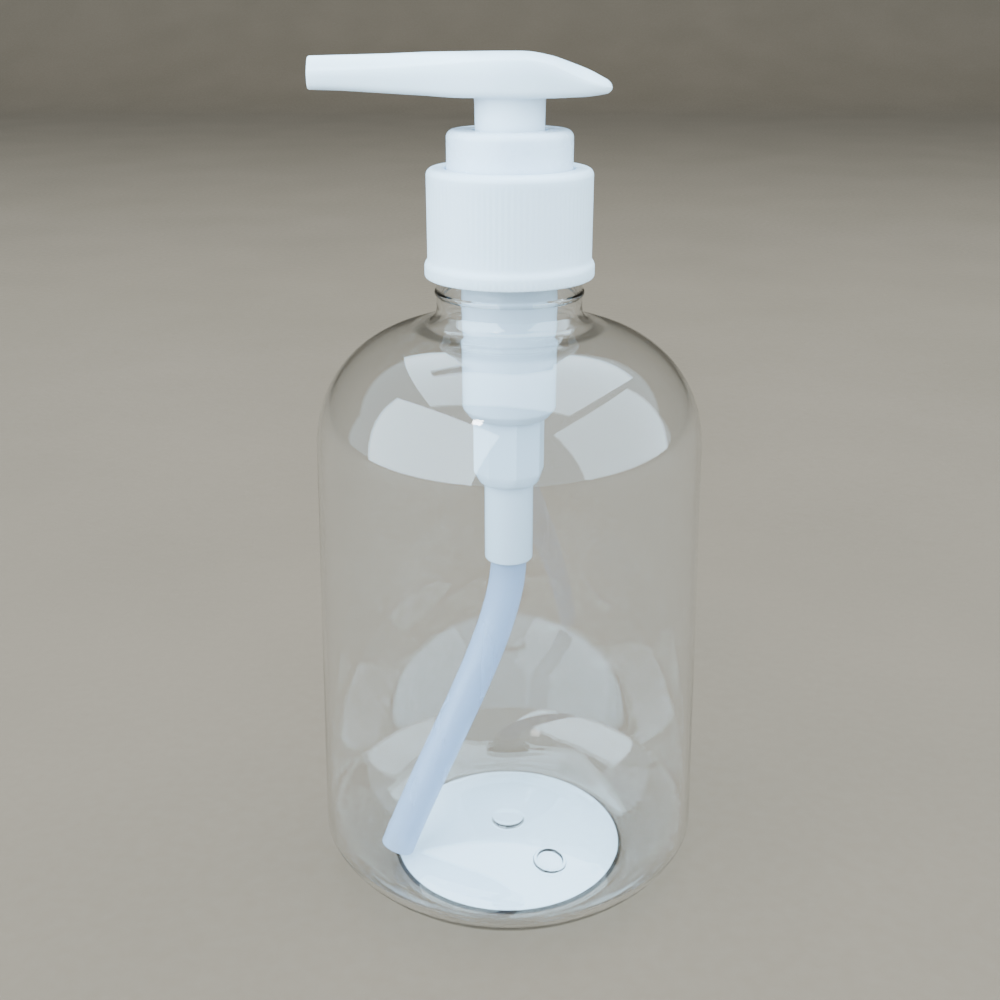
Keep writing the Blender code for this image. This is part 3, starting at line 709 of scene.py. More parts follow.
@dataclass
class Bottle(Piece):
    """Clear blown bottle with a threaded neck, and the paper label under its base."""

    heel_radius: float = 40.4 * MM
    shoulder_radius: float = 38.2 * MM
    wall: float = 0.9 * MM
    ring_radius: float = 26.2 * MM
    ring_width: float = 1.6 * MM
    heel_height: float = 11.6 * MM
    heel_power: float = 1.4
    shoulder_start: float = 96.0 * MM
    shoulder_rise: float = 25.1 * MM
    shoulder_power: float = 2.2
    recess_depth: float = 1.6 * MM
    push_up_rise: float = 3.9 * MM
    gate_mark: tuple[Point, ...] = (
        (4.4, 0.0), (3.8, 0.0), (3.6, 0.15), (3.45, 0.65), (3.1, 0.8), (1.5, 0.7), (0.0, 0.7),
    )
    pip_place: Point = (9.0 * MM, -13.0 * MM)
    pip_radius: float = 3.2 * MM
    pip_bead: float = 0.5 * MM
    label_thickness: float = 0.3 * MM
    label_gap: float = 0.3 * MM
    label_margin: float = 0.35 * MM
    bore: float = 10.8 * MM
    finish_radius: float = 12.6 * MM
    neck_radius: float = 14.0 * MM
    fillet: float = 3.0 * MM
    collar_top: float = 132.0 * MM
    thread_foot: float = 135.055 * MM
    thread_depth: float = 1.05 * MM
    bead: float = 0.35 * MM
    bead_lift: float = 2.3 * MM
    neck_foot_wall: float = 1.2 * MM
    steps: int = 128
    heel_steps: int = 26
    dome_steps: int = 34
    wall_steps: int = 8
    rim: float = field(default_factory=lambda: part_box("bottle")[1].z)

    @property
    def neck_foot(self) -> float:
        """Height at which the shoulder ends."""
        return self.shoulder_start + self.shoulder_rise

    @property
    def ring_inner(self) -> float:
        """Inner radius of the ring that the bottle stands on."""
        return self.ring_radius - self.ring_width / 2

    @property
    def ring_outer(self) -> float:
        """Outer radius of the ring that the bottle stands on."""
        return self.ring_radius + self.ring_width / 2

    @property
    def fillet_centre(self) -> Point:
        """Middle of the hollow curve between the shoulder and the neck."""
        return self.neck_radius + self.fillet, self.neck_foot + self.fillet

    def push_up(self, radius: float) -> float:
        """Height of the underside of the domed push-up at a radius."""
        return self.recess_depth + self.push_up_rise * (1 - (radius / self.ring_inner) ** 2)

    def upright(self, low: Point, high: Point) -> list[Corner]:
        """Corners along a straight wall.

        Args:
            low: radius and height of the end that comes first.
            high: radius and height of the other end.

        Returns:
            The corners between the two ends, without them.
        """
        steps = self.wall_steps
        return [
            (low[0] + (high[0] - low[0]) * i / steps, low[1] + (high[1] - low[1]) * i / steps, 0.0)
            for i in range(1, steps)
        ]

    def dome(self, wall: float) -> list[Corner]:
        """Corners of the shoulder.

        Args:
            wall: how far inside the outer face they lie.

        Returns:
            The corners, from the upright wall up to the middle.
        """
        foot = self.neck_radius - self.fillet
        across_all = self.shoulder_radius - foot - wall
        rise = self.shoulder_rise - wall
        return [
            (foot + across_all * across, self.shoulder_start + rise * up, 0.0)
            for across, up in quarter(self.shoulder_power, self.dome_steps)
        ]

    def outside(self) -> list[Corner]:
        """Works out the outer face.

        Returns:
            Its corners, from the middle of the base up to the rim.
        """
        roof = self.ring_inner - 0.2 * MM
        heel_width = self.heel_radius - self.ring_outer
        heel_top = (self.heel_radius, self.heel_height)
        points = [(roof * i / 12, self.push_up(roof * i / 12), 0.0) for i in range(12)]
        points += [(roof, self.push_up(roof), 0.35 * MM), (self.ring_inner, 0.0, 0.35 * MM)]
        points += [
            (self.ring_outer + heel_width * across, self.heel_height * (1 - up), 0.0)
            for up, across in quarter(self.heel_power, self.heel_steps)
        ]
        points += self.upright(heel_top, (self.shoulder_radius, self.shoulder_start))
        points += [point for point in self.dome(0.0) if point[0] > self.fillet_centre[0]]
        points += arc(self.fillet_centre, self.fillet, 258, 184, 7)
        bead_foot = self.neck_foot + self.fillet + self.bead_lift
        points += [
            (self.neck_radius, bead_foot, 0.0),
            (self.neck_radius + self.bead, bead_foot + self.bead, 0.15 * MM),
            (self.neck_radius + self.bead, bead_foot + 2.5 * self.bead, 0.15 * MM),
            (self.neck_radius, bead_foot + 3.5 * self.bead, 0.0),
            (self.neck_radius, self.collar_top, 0.5 * MM),
            (self.finish_radius, self.collar_top, 0.3 * MM),
            (self.finish_radius, self.rim, 0.4 * MM),
        ]
        return points

    def inside(self) -> list[Corner]:
        """Works out the inner face.

        Returns:
            Its corners, from the rim down to the middle of the floor.
        """
        throat = self.neck_radius - self.neck_foot_wall
        points = [
            (self.bore, self.rim, 0.4 * MM),
            (self.bore, self.collar_top + 1.2 * MM, 0.8 * MM),
            (throat, self.collar_top - 1.8 * MM, 0.8 * MM),
            *arc(self.fillet_centre, self.fillet + self.neck_foot_wall, 181, 258, 10),
        ]
        dome_end = self.fillet_centre[0] + 0.2 * MM
        points += [point for point in reversed(self.dome(self.wall)) if point[0] > dome_end]
        heel = self.heel_radius - self.wall
        shoulder = self.shoulder_radius - self.wall
        points += self.upright((shoulder, self.shoulder_start), (heel, self.heel_height))
        floor = 1.3 * self.wall
        heel_width, heel_rise = heel - self.ring_outer, self.heel_height - floor
        points += [
            (self.ring_outer + heel_width * across, floor + heel_rise * (1 - up), 0.0)
            for up, across in reversed(quarter(self.heel_power, self.heel_steps))
        ]
        rings = [self.ring_inner * i / 14 for i in range(13, 3, -1)]
        points += [(radius, self.push_up(radius) + self.wall, 0.0) for radius in rings]
        for radius, rise in self.gate_mark:
            height = self.push_up(radius * MM) + self.wall + rise * MM
            points.append((radius * MM, height, 0.0))
        return points

    def pip(self) -> bpy.types.Object:
        """Makes the small raised ring on the floor, off the middle.

        Returns:
            The ring, to be joined to the floor.
        """
        place = Vector((*self.pip_place, 0.0))
        radius = place.length
        slope = -2 * self.push_up_rise * radius / self.ring_inner**2
        tilt = Matrix.Rotation(-math.atan(slope), 4, Vector((-place.y, place.x, 0)))
        lift = Vector((place.x, place.y, self.push_up(radius) + self.wall + 0.05 * MM))
        bm = spun(arc((self.pip_radius, 0.0), self.pip_bead, 0, 330, 11), 64)
        bmesh.ops.transform(bm, matrix=Matrix.Translation(lift) @ tilt, verts=bm.verts)
        return finished(bm, "pip_form", None)

    def build_bottle(self, finish: bpy.types.Material) -> None:
        """Makes the bottle with its thread and the marks of its mould.

        Args:
            finish: its material.
        """
        bm = spun(self.outside() + self.inside(), self.steps, closed=False)
        bottle = finished(bm, "clear_bottle", finish)
        ridge = Thread(self.finish_radius, self.finish_radius + self.thread_depth, self.thread_foot)
        combined(bottle, ridge.build(), Join.ADD)
        combined(bottle, self.pip(), Join.ADD)
        self.fit(bottle, "bottle", "bottle", "clear_pet")

    def build_label(self, finish: bpy.types.Material) -> None:
        """Makes the round label under the push-up.

        Args:
            finish: its material.
        """
        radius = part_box("base_label")[1].x + self.label_margin
        rings = [radius * i / 10 for i in range(11)]
        top = [(place, self.push_up(place) - self.label_gap, 0.0) for place in rings]
        under = [(place, height - self.label_thickness, 0.0) for place, height, _ in reversed(top)]
        label = finished(spun(top + under, self.steps, closed=False), "round_label", finish)
        self.fit(label, "bottle", "base_label", "label_paper")

    def build(self) -> None:
        """Builds and dresses both pieces."""
        self.build_bottle(ClearPolyester("clear_polyester").build())
        self.build_label(LabelPaper("coated_paper").build())


# ---------------------------------------------------------------- closure


@dataclass
class Closure(Piece):
    """Screw closure with fine gripping ribs, and the foam seal that it presses on the neck."""

    radius: float = 15.55 * MM
    bore: float = 14.0 * MM
    lip_radius: float = 16.15 * MM
    lip_bore: float = 14.35 * MM
    lip_height: float = 3.0 * MM
    hole: float = 12.25 * MM
    top_wall: float = 2.0 * MM
    step_height: float = 132.3 * MM
    edge: float = 1.3 * MM
    ribs: int = 90
    rib_depth: float = 0.10 * MM
    thread_foot: float = 133.555 * MM
    thread_crest: float = 12.95 * MM
    seal_bore: float = 9.5 * MM
    foot: float = field(default_factory=lambda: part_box("closure")[0].z)
    top: float = field(default_factory=lambda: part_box("closure")[1].z + 0.35 * MM)

    def profile(self) -> list[Corner]:
        """Works out the closure's section.

        Returns:
            Its corners, from the inside of the lip round to the same place.
        """
        ceiling = self.top - self.top_wall
        shelf = self.foot + self.lip_height
        grip_foot, grip_top = shelf + 1.0 * MM, self.top - self.edge - 1.0 * MM
        grip = [(self.radius, grip_foot + (grip_top - grip_foot) * i / 6, 0.0) for i in range(7)]
        return [
            (self.lip_bore, self.foot, 0.2 * MM),
            (self.lip_radius, self.foot, 0.5 * MM),
            (self.lip_radius, shelf - 0.5 * MM, 0.5 * MM),
            (self.radius, shelf + 0.3 * MM, 0.4 * MM),
            *grip,
            *arc((self.radius - self.edge, self.top - self.edge), self.edge, 0, 90, 7),
            (self.hole, self.top, 0.25 * MM),
            (self.hole, ceiling, 0.0),
            (self.bore, ceiling, 0.4 * MM),
            (self.bore, self.step_height + 0.35 * MM, 0.0),
            (self.lip_bore, self.step_height, 0.0),
        ]

    def ribbed(self, radius: float, angle: float, height: float) -> float:
        """Presses the ribs into the skirt and the scallops into its lip.

        Args:
            radius: a point's distance from the axis.
            angle: its place round the axis.
            height: its height.

        Returns:
            Its new distance from the axis.
        """
        wave = 0.5 - 0.5 * math.cos(self.ribs * angle)
        rib_foot = self.foot + self.lip_height + 0.9 * MM
        rib_top = self.top - self.edge - 0.5 * MM
        if radius > self.lip_radius - 0.1 * MM and height < self.foot + 0.6 * MM:
            return radius - 1.6 * self.rib_depth * wave
        if radius > self.radius - 0.02 * MM and rib_foot < height < rib_top:
            return radius - self.rib_depth * wave
        return radius

    def build_closure(self, finish: bpy.types.Material) -> None:
        """Makes the screw closure with its inner thread.

        Args:
            finish: its material.
        """
        bm = spun(self.profile(), self.ribs * 4)
        reshape(bm, self.ribbed)
        closure = finished(bm, "screw_closure", finish)
        combined(closure, Thread(self.bore, self.thread_crest, self.thread_foot).build(), Join.ADD)
        self.fit(closure, "closure", "closure", "white_pp")

    def build_seal(self, finish: bpy.types.Material) -> None:
        """Makes the flat foam ring on the neck's rim.

        Args:
            finish: its material.
        """
        low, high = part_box("neck_gasket")
        corners = [
            (self.seal_bore, low.z, 0.2 * MM),
            (high.x, low.z, 0.3 * MM),
            (high.x, high.z, 0.3 * MM),
            (self.seal_bore, high.z, 0.2 * MM),
        ]
        gasket = finished(spun(corners, 96), "foam_seal", finish)
        self.fit(gasket, "pump_body", "neck_gasket", "gasket_foam")

    def build(self) -> None:
        """Builds and dresses both pieces."""
        self.build_closure(MouldedPolypropylene("white_closure_plastic").build())
        self.build_seal(SealFoam("seal_foam").build())


# ---------------------------------------------------------------- pump body


@dataclass
class PumpBody(Piece):
    """What hangs in the neck: guide collar, cylinder, dip tube and the ball's retainer."""

    collar_radius: float = 11.72 * MM
    collar_bore: float = 6.95 * MM
    collar_hole: float = 4.55 * MM
    collar_edge: float = 1.4 * MM
    ledge: float = 1.5 * MM
    flange_radius: float = 13.4 * MM
    flange_foot: float = 146.4 * MM
    collar_flange: float = 1.0 * MM
    flange_depth: float = 1.3 * MM
    radius: float = 9.2 * MM
    bore: float = 8.45 * MM
    valve_radius: float = 7.2 * MM
    valve_turn: float = math.pi / 16
    valve_bore: float = 5.802 * MM
    inlet: float = 1.8 * MM
    socket_radius: float = 4.95 * MM
    socket_bore: float = 4.0 * MM
    socket_foot: float = 71.5 * MM
    valve_foot: float = 88.5 * MM
    valve_top: float = 102.5 * MM
    tube_radius: float = 3.7 * MM
    tube_wall: float = 0.7 * MM
    tube_reach: float = 24.35 * MM
    tube_lean: float = 0.33
    steps: int = 96

    def build_collar(self, finish: bpy.types.Material) -> None:
        """Makes the collar that guides the plunger.

        Args:
            finish: its material.
        """
        low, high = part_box("chaplet")
        plug = self.bore - 0.3 * MM
        corners = [
            (self.collar_hole, low.z, 0.2 * MM),
            (plug, low.z, 0.4 * MM),
            (plug, self.flange_foot, 0.0),
            (self.flange_radius, self.flange_foot, 0.2 * MM),
            (self.flange_radius, self.flange_foot + self.collar_flange, 0.2 * MM),
            (self.collar_radius, self.flange_foot + self.collar_flange, 0.4 * MM),
            (self.collar_radius, high.z, self.collar_edge),
            (self.collar_bore, high.z, 0.35 * MM),
            (self.collar_bore, low.z + self.ledge, 0.3 * MM),
            (self.collar_hole, low.z + self.ledge, 0.2 * MM),
        ]
        collar = finished(spun(corners, self.steps, corner_steps=7), "guide_collar", finish)
        self.fit(collar, "pump_body", "chaplet", "white_pp_collar")

    def housing_profile(self) -> list[Corner]:
        """Works out the section of the cylinder, its valve chamber and the dip tube's socket.

        Returns:
            Its corners, up the outside from the socket's mouth and back down the inside.
        """
        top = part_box("pump_housing")[1].z
        flange = top - self.flange_depth
        ceiling = self.valve_foot - 2.0 * MM
        drop = self.valve_top + 1.6 * MM - flange
        shaft = [(self.radius, flange + drop * i / 5, 0.0) for i in range(1, 5)]
        outside = [
            (self.socket_bore, self.socket_foot, 0.1 * MM),
            (self.socket_radius, self.socket_foot, 0.5 * MM),
            (self.socket_radius, self.valve_foot - 0.3 * MM, 0.0),
            (self.valve_radius - 1.2 * MM, self.valve_foot, 0.25 * MM),
            (self.valve_radius, self.valve_foot + 2.16 * MM, 0.0),
            (self.valve_radius, self.valve_foot + 2.6 * MM, 0.0),
            (self.valve_radius, self.valve_top - 0.4 * MM, 0.0),
            (self.valve_radius, self.valve_top, 0.0),
            (self.radius - 1.2 * MM, self.valve_top, 0.15 * MM),
            (self.radius, self.valve_top + 1.6 * MM, 0.35 * MM),
            *reversed(shaft),
            (self.radius, flange, 0.4 * MM),
            (self.flange_radius, flange, 0.2 * MM),
            (self.flange_radius, top, 0.2 * MM),
        ]
        bore_foot = self.valve_top + 4.0 * MM
        inside = [
            (self.bore, top, 0.2 * MM),
            (self.bore, bore_foot, 0.5 * MM),
            (self.valve_bore, bore_foot - (self.bore - self.valve_bore), 0.5 * MM),
            (self.valve_bore, self.valve_foot + self.valve_bore - self.inlet, 0.3 * MM),
            (self.inlet, self.valve_foot, 0.2 * MM),
            (self.inlet, ceiling, 0.1 * MM),
            (self.socket_bore, ceiling, 0.2 * MM),
        ]
        return outside + inside

    def eight_sided(self, radius: float, angle: float, height: float) -> float:
        """Presses the valve chamber flat on eight sides.

        Args:
            radius: a point's distance from the axis.
            angle: its place round the axis.
            height: its height.

        Returns:
            Its new distance from the axis.
        """
        low, high = self.valve_foot + 2.1 * MM, self.valve_top + 0.01 * MM
        if not low < height < high or abs(radius - self.valve_radius) > 0.02 * MM:
            return radius
        turn = (angle - self.valve_turn) % (math.pi / 4) - math.pi / 8
        return self.valve_radius * math.cos(math.pi / 8) / math.cos(turn)

    def build_housing(self, finish: bpy.types.Material) -> None:
        """Makes the pump cylinder.

        Args:
            finish: its material.
        """
        bm = spun(self.housing_profile(), self.steps)
        reshape(bm, self.eight_sided)
        self.fit(finished(bm, "pump_cylinder", finish), "pump_body", "pump_housing", "natural_pp")

    def tube_route(self) -> list[Vector]:
        """Works out the dip tube's centre line.

        Returns:
            Its points: straight down the socket, then a sweep to the bottle's heel.
        """
        bottle = Bottle()
        inner_edge = self.tube_reach * math.hypot(1, self.tube_lean) - self.tube_radius
        foot = bottle.push_up(inner_edge) + bottle.wall + 0.3 * MM + 0.4 * self.tube_radius
        drop = self.socket_foot - foot
        reach = self.tube_reach
        controls = (
            Vector((0.0, 0.0, self.socket_foot)),
            Vector((0.0, 0.0, self.socket_foot - 0.25 * drop)),
            Vector((-0.56 * reach, -0.56 * self.tube_lean * reach, foot + 0.41 * drop)),
            Vector((-reach, -self.tube_lean * reach, foot)),
        )
        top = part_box("dip_tube")[1].z
        route = [Vector((0.0, 0.0, top + (self.socket_foot - top) * i / 4)) for i in range(4)]
        for i in range(45):
            t = i / 44
            weights = ((1 - t) ** 3, 3 * t * (1 - t) ** 2, 3 * t * t * (1 - t), t**3)
            pulls = [weight * point for weight, point in zip(weights, controls)]
            route.append(sum(pulls, Vector()))
        return route

    def build_tube(self, finish: bpy.types.Material) -> None:
        """Makes the hollow dip tube.

        Args:
            finish: its material.
        """
        route = self.tube_route()
        aside = Vector((0, 1, 0))
        outer = rings_along(route, self.tube_radius, 40, aside)
        inner = rings_along(route, self.tube_radius - self.tube_wall, 40, aside)
        skin = Loft(outer[0])
        for ring in outer[1:] + inner[::-1]:
            skin.grow(ring)
        tube = finished(skin.joined(), "dip_tube_pipe", finish)
        self.fit(tube, "pump_body", "dip_tube", "natural_pe")

    def build_retainer(self, finish: bpy.types.Material) -> None:
        """Makes the disc over the ball, with three ports through it.

        Args:
            finish: its material.
        """
        low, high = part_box("ball_retainer")
        middle = (low.z + high.z) / 2
        corners = [
            (0.0, low.z, 0.0),
            (high.x, low.z, 0.2 * MM),
            (high.x, high.z, 0.2 * MM),
            (0.0, high.z, 0.0),
        ]
        retainer = finished(spun(corners, 64, closed=False), "ball_guard", finish)
        for i in range(3):
            angle = FULL_TURN * (i + 0.5) / 3
            port, out = 0.2 * high.x, 0.5 * high.x
            bm = bmesh.new()
            bmesh.ops.create_cone(
                bm, cap_ends=True, segments=32, radius1=port, radius2=port, depth=4 * MM
            )
            place = (out * math.cos(angle), out * math.sin(angle), middle)
            bmesh.ops.translate(bm, verts=bm.verts, vec=place)
            combined(retainer, finished(bm, "port_form", None), Join.CUT)
        self.fit(retainer, "pump_body", "ball_retainer", "retainer_pp")

    def build(self) -> None:
        """Builds and dresses the four pieces."""
        collar_finish = MouldedPolypropylene(
            "white_collar_plastic", colour=(0.75, 0.84, 0.93), shade=(0.71, 0.80, 0.90),
            roughness=0.26, depth_weight=0.6,
        )
        cylinder_finish = NaturalPlastic(
            "milky_cylinder_plastic", colour=(0.81, 0.90, 0.98), shade=(0.77, 0.865, 0.96),
            glow=(0.84, 0.92, 1.0), glow_share=0.3, roughness=0.11,
        )
        tube_finish = NaturalPlastic(
            "milky_tube_plastic", colour=(0.66, 0.77, 0.92), shade=(0.61, 0.72, 0.88),
            glow=(0.76, 0.86, 1.0), glow_share=0.32, clear_share=0.6, roughness=0.22,
            draw_lines=True,
        )
        self.build_collar(collar_finish.build())
        self.build_housing(cylinder_finish.build())
        self.build_tube(tube_finish.build())
        self.build_retainer(MouldedPolypropylene("retainer_plastic", roughness=0.4).build())


# ---------------------------------------------------------------- plunger


@dataclass
class Plunger(Piece):
    """What the thumb pushes down: head with nozzle and sleeve, stem, valve plug and piston.

    A station of the head holds its place along the head as a share of the reach, the width as a
    share between the nozzle's and the pad's, and its underside and top as shares of the height.
    """

    head_height: float = 8.0 * MM
    nozzle_reach: float = 36.3 * MM
    thumb_reach: float = 18.4 * MM
    pad_half_width: float = 9.15 * MM
    nozzle_half_width: float = 3.2 * MM
    outlet_radius: float = 1.7 * MM
    channel_share: float = 0.54
    sleeve_radius: float = 6.5 * MM
    sleeve_bore: float = 4.5 * MM
    sleeve_draft: float = 0.25 * MM
    stem_radius: float = 4.2 * MM
    stem_bore: float = 2.8 * MM
    nozzle_rounding: float = 0.35 * MM
    thumb_rounding: float = 0.9 * MM
    stations: tuple[tuple[float, float, float, float], ...] = (
        (-1.0, 0.0, 0.19, 0.90),
        (-0.83, 0.06, 0.17, 0.92),
        (-0.62, 0.16, 0.12, 0.945),
        (-0.41, 0.35, 0.075, 0.98),
        (-0.28, 0.57, 0.045, 0.99),
        (-0.18, 0.76, 0.045, 0.995),
        (-0.05, 0.95, 0.045, 1.0),
        (0.19, 1.0, 0.045, 0.99),
        (0.41, 0.87, 0.045, 0.90),
        (0.56, 0.68, 0.05, 0.79),
        (0.77, 0.34, 0.06, 0.61),
        (0.92, 0.0, 0.095, 0.44),
        (1.0, -0.25, 0.135, 0.34),
    )
    head_foot: float = field(init=False)

    def __post_init__(self) -> None:
        """Works out the height of the head's underside once, as it is asked for at every point."""
        self.head_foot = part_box("pump_head")[1].z - self.head_height

    def tip_rounding(self, along: float) -> float:
        """Rounding of the nearer end of the head."""
        return self.nozzle_rounding if along < 0 else self.thumb_rounding

    def between(self, along: float) -> list[float]:
        """Reads the head's shape off a smooth curve through the stations.

        Args:
            along: the place, from -1 at the nozzle's end to 1 at the thumb's.

        Returns:
            Its width, underside and top there, as the stations give them.
        """
        places = [station[0] for station in self.stations]
        i = max(1, min(len(places) - 1, bisect(places, along)))
        first, second = self.stations[i - 1], self.stations[i]
        before = self.stations[max(i - 2, 0)]
        after = self.stations[min(i + 1, len(places) - 1)]
        gap = second[0] - first[0]
        t = (along - first[0]) / gap
        values = []
        for k in (1, 2, 3):
            rise = (second[k] - before[k]) / (second[0] - before[0]) * gap
            fall = (after[k] - first[k]) / (after[0] - first[0]) * gap
            values.append((2 * t**3 - 3 * t**2 + 1) * first[k] + (t**3 - 2 * t**2 + t) * rise
                          + (3 * t**2 - 2 * t**3) * second[k] + (t**3 - t**2) * fall)
        return values

    def section(self, along: float) -> list[Vector]:
        """Works out a ring round the head: crowned top, crisp edge, upright sides, round below.

        Args:
            along: the place, from -1 at the nozzle's end to 1 at the thumb's.

        Returns:
            The ring's points, from the middle of the top round both sides.
        """
        width, bottom, top = self.between(along)
        reach = self.nozzle_reach if along < 0 else self.thumb_reach
        widening = self.pad_half_width - self.nozzle_half_width
        half = max(self.nozzle_half_width + width * widening, 1.2 * MM)
        low, high = bottom * self.head_height, min(top, 1.0) * self.head_height
        crown = min(2.4 * MM - 1.2 * MM * max(width, 0.0), 0.4 * (high - low))
        edge = min(1.3 * MM, 0.34 * (high - low), 0.45 * half)
        round_top = min(0.3 * MM, 0.4 * (high - crown - low - edge))
        shares = (0.12, 0.25, 0.38, 0.5, 0.62, 0.72, 0.81, 0.89, 0.95)
        side = [(share * (half - round_top), high - crown * share**2.5) for share in shares]
        side += [(half - 0.45 * round_top, high - crown), (half, high - crown - 0.8 * round_top)]
        middle = (high - crown + low + edge) / 2
        bulge = 0.1 * MM if half < self.pad_half_width - 0.1 * MM else 0.0
        side.append((half + bulge, middle))
        side += [(half - edge + edge * math.cos(a), low + edge - edge * math.sin(a))
                 for a in (math.pi / 2 * i / 5 for i in range(6))]
        side += [(share * (half - edge), low) for share in (0.66, 0.33)]
        rounding = self.tip_rounding(along)
        inset = max(0.0, 1 - (1 - abs(along)) * reach / rounding)
        shrink = min(rounding, 0.38 * (high - low)) * (1 - math.sqrt(1 - inset**2))
        centre = (low + high) / 2
        squeeze_y, squeeze_z = 1 - shrink / half, 1 - shrink / ((high - low) / 2)
        x, lift = along * reach, self.head_foot + centre
        points = [(0.0, high), *side, (0.0, low), *((-y, z) for y, z in reversed(side))]
        return [Vector((x, y * squeeze_y, lift + (z - centre) * squeeze_z)) for y, z in points]

    def head_skin(self) -> bmesh.types.BMesh:
        """Lofts the thumb pad and the nozzle.

        Returns:
            The closed mesh, with its rings closer together at both rounded ends.
        """
        near_tip = [0.0, 0.08, 0.25, 0.55]
        first = self.nozzle_rounding / self.nozzle_reach
        last = self.thumb_rounding / self.thumb_reach
        count = 60
        places = [first * gap - 1 for gap in near_tip]
        places += [first - 1 + (2 - first - last) * i / count for i in range(count + 1)]
        places += [1 - last * gap for gap in reversed(near_tip)]
        skin = Loft(self.section(places[0]))
        for place in places[1:]:
            skin.grow(self.section(place))
        return skin.capped()

    def sleeve_form(self, foot: float) -> bpy.types.Object:
        """Makes the sleeve below the head, with a flare into the head's underside.

        Args:
            foot: height of the sleeve's lower end.

        Returns:
            The solid sleeve, to be joined to the head.
        """
        base, radius = self.head_foot, self.sleeve_radius
        flare_foot = base - 0.35 * MM
        angles = [math.pi / 2 * i / 5 for i in range(1, 6)]
        flare = [
            (radius + 0.6 * MM * (1 - math.cos(a)), flare_foot + 0.8 * MM * math.sin(a), 0.0)
            for a in angles
        ]
        sleeve = [
            (0.0, foot, 0.0),
            (radius - self.sleeve_draft, foot, 0.3 * MM),
            (radius, flare_foot, 0.0),
            *flare,
            (radius, base + 3.0 * MM, 0.0),
            (0.0, base + 3.0 * MM, 0.0),
        ]
        return finished(spun(sleeve, 96, closed=False), "sleeve_form", None)

    def bore_form(self, foot: float, channel: float) -> bpy.types.Object:
        """Makes the upright passage for the stem.

        Args:
            foot: height of the sleeve's lower end.
            channel: height of the nozzle's passage.

        Returns:
            The solid to cut from the head.
        """
        below, seat, roof = foot - 2 * MM, self.head_foot + 2.5 * MM, channel + 1.2 * MM
        bore = [
            (0.0, below, 0.0),
            (self.sleeve_bore, below, 0.0),
            (self.sleeve_bore, seat, 0.2 * MM),
            (self.stem_bore, seat, 0.0),
            (self.stem_bore, roof, 0.3 * MM),
            (0.0, roof, 0.0),
        ]
        return finished(spun(bore, 64, closed=False), "bore_form", None)

    def outlet_form(self, channel: float) -> bpy.types.Object:
        """Makes the nozzle's passage, with a countersink at its mouth.

        Args:
            channel: height of the passage.

        Returns:
            The solid to cut from the head.
        """
        mouth, past = self.outlet_radius + 0.45 * MM, self.nozzle_reach + 2 * MM
        outlet = [
            (0.0, 0.0, 0.0),
            (self.outlet_radius, 0.0, 0.0),
            (self.outlet_radius, self.nozzle_reach - 0.5 * MM, 0.0),
            (mouth, self.nozzle_reach + 0.2 * MM, 0.0),
            (mouth, past, 0.0),
            (0.0, past, 0.0),
        ]
        bm = spun(outlet, 48, closed=False)
        lay = Matrix.Translation((0, 0, channel)) @ Matrix.Rotation(-math.pi / 2, 4, "Y")
        bmesh.ops.transform(bm, matrix=lay, verts=bm.verts)
        return finished(bm, "outlet_form", None)

    def build_head(self, finish: bpy.types.Material) -> None:
        """Makes the head: pad and nozzle, sleeve below, and the passage through both.

        Args:
            finish: its material.
        """
        head = finished(self.head_skin(), "nozzle_head", finish)
        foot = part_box("pump_head")[0].z
        channel = self.head_foot + self.channel_share * self.head_height
        combined(head, self.sleeve_form(foot), Join.ADD)
        combined(head, self.bore_form(foot, channel), Join.CUT)
        combined(head, self.outlet_form(channel), Join.CUT)
        self.fit(head, "plunger", "pump_head", "white_pp_head")

    def build_stem(self, finish: bpy.types.Material) -> None:
        """Makes the hollow stem.

        Args:
            finish: its material.
        """
        low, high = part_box("stem")
        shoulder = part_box("chaplet")[0].z - 0.3 * MM
        corners = [
            (self.stem_bore, low.z, 0.2 * MM),
            (self.stem_radius, low.z, 0.3 * MM),
            (self.stem_radius, shoulder - 1.3 * MM, 0.2 * MM),
            (high.x, shoulder - 1.3 * MM, 0.2 * MM),
            (high.x, shoulder, 0.3 * MM),
            (self.stem_radius, shoulder, 0.2 * MM),
            (self.stem_radius, high.z, 0.3 * MM),
            (self.stem_bore, high.z, 0.3 * MM),
        ]
        self.fit(finished(spun(corners, 80), "hollow_stem", finish), "plunger", "stem", "stem_pp")

    def build_plug(self, finish: bpy.types.Material) -> None:
        """Makes the fluted plug that seats the spring and closes the outlet.

        Args:
            finish: its material.
        """
        low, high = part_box("valve_plug")
        post = self.stem_bore - 0.3 * MM
        cone_top = low.z + 4.6 * MM
        corners = [
            (0.0, low.z, 0.0),
            (high.x, low.z, 0.25 * MM),
            (high.x, low.z + 1.2 * MM, 0.25 * MM),
            (self.sleeve_bore + 1.1 * MM, low.z + 1.2 * MM, 0.0),
            (self.sleeve_bore - 1.4 * MM, cone_top, 0.2 * MM),
            (post, cone_top + 0.5 * MM, 0.0),
            (post, cone_top + 1.2 * MM, 0.0),
            (post, high.z - 1.2 * MM, 0.0),
            (post, high.z, 0.5 * MM),
            (0.0, high.z, 0.0),
        ]
        bm = spun(corners, 96, closed=False)

        def fluted(radius: float, angle: float, height: float) -> float:
            """Draws the post in where a flute runs.

            Args:
                radius: a point's distance from the axis.
                angle: its place round the axis.
                height: its height.

            Returns:
                Its new distance from the axis.
            """
            dip = max(0.0, math.cos(4 * angle - math.pi)) ** 0.5
            return radius * (1 - 0.38 * dip) if height > cone_top + 0.6 * MM else radius

        reshape(bm, fluted)
        self.fit(finished(bm, "fluted_plug", finish), "plunger", "valve_plug", "plug_pp")

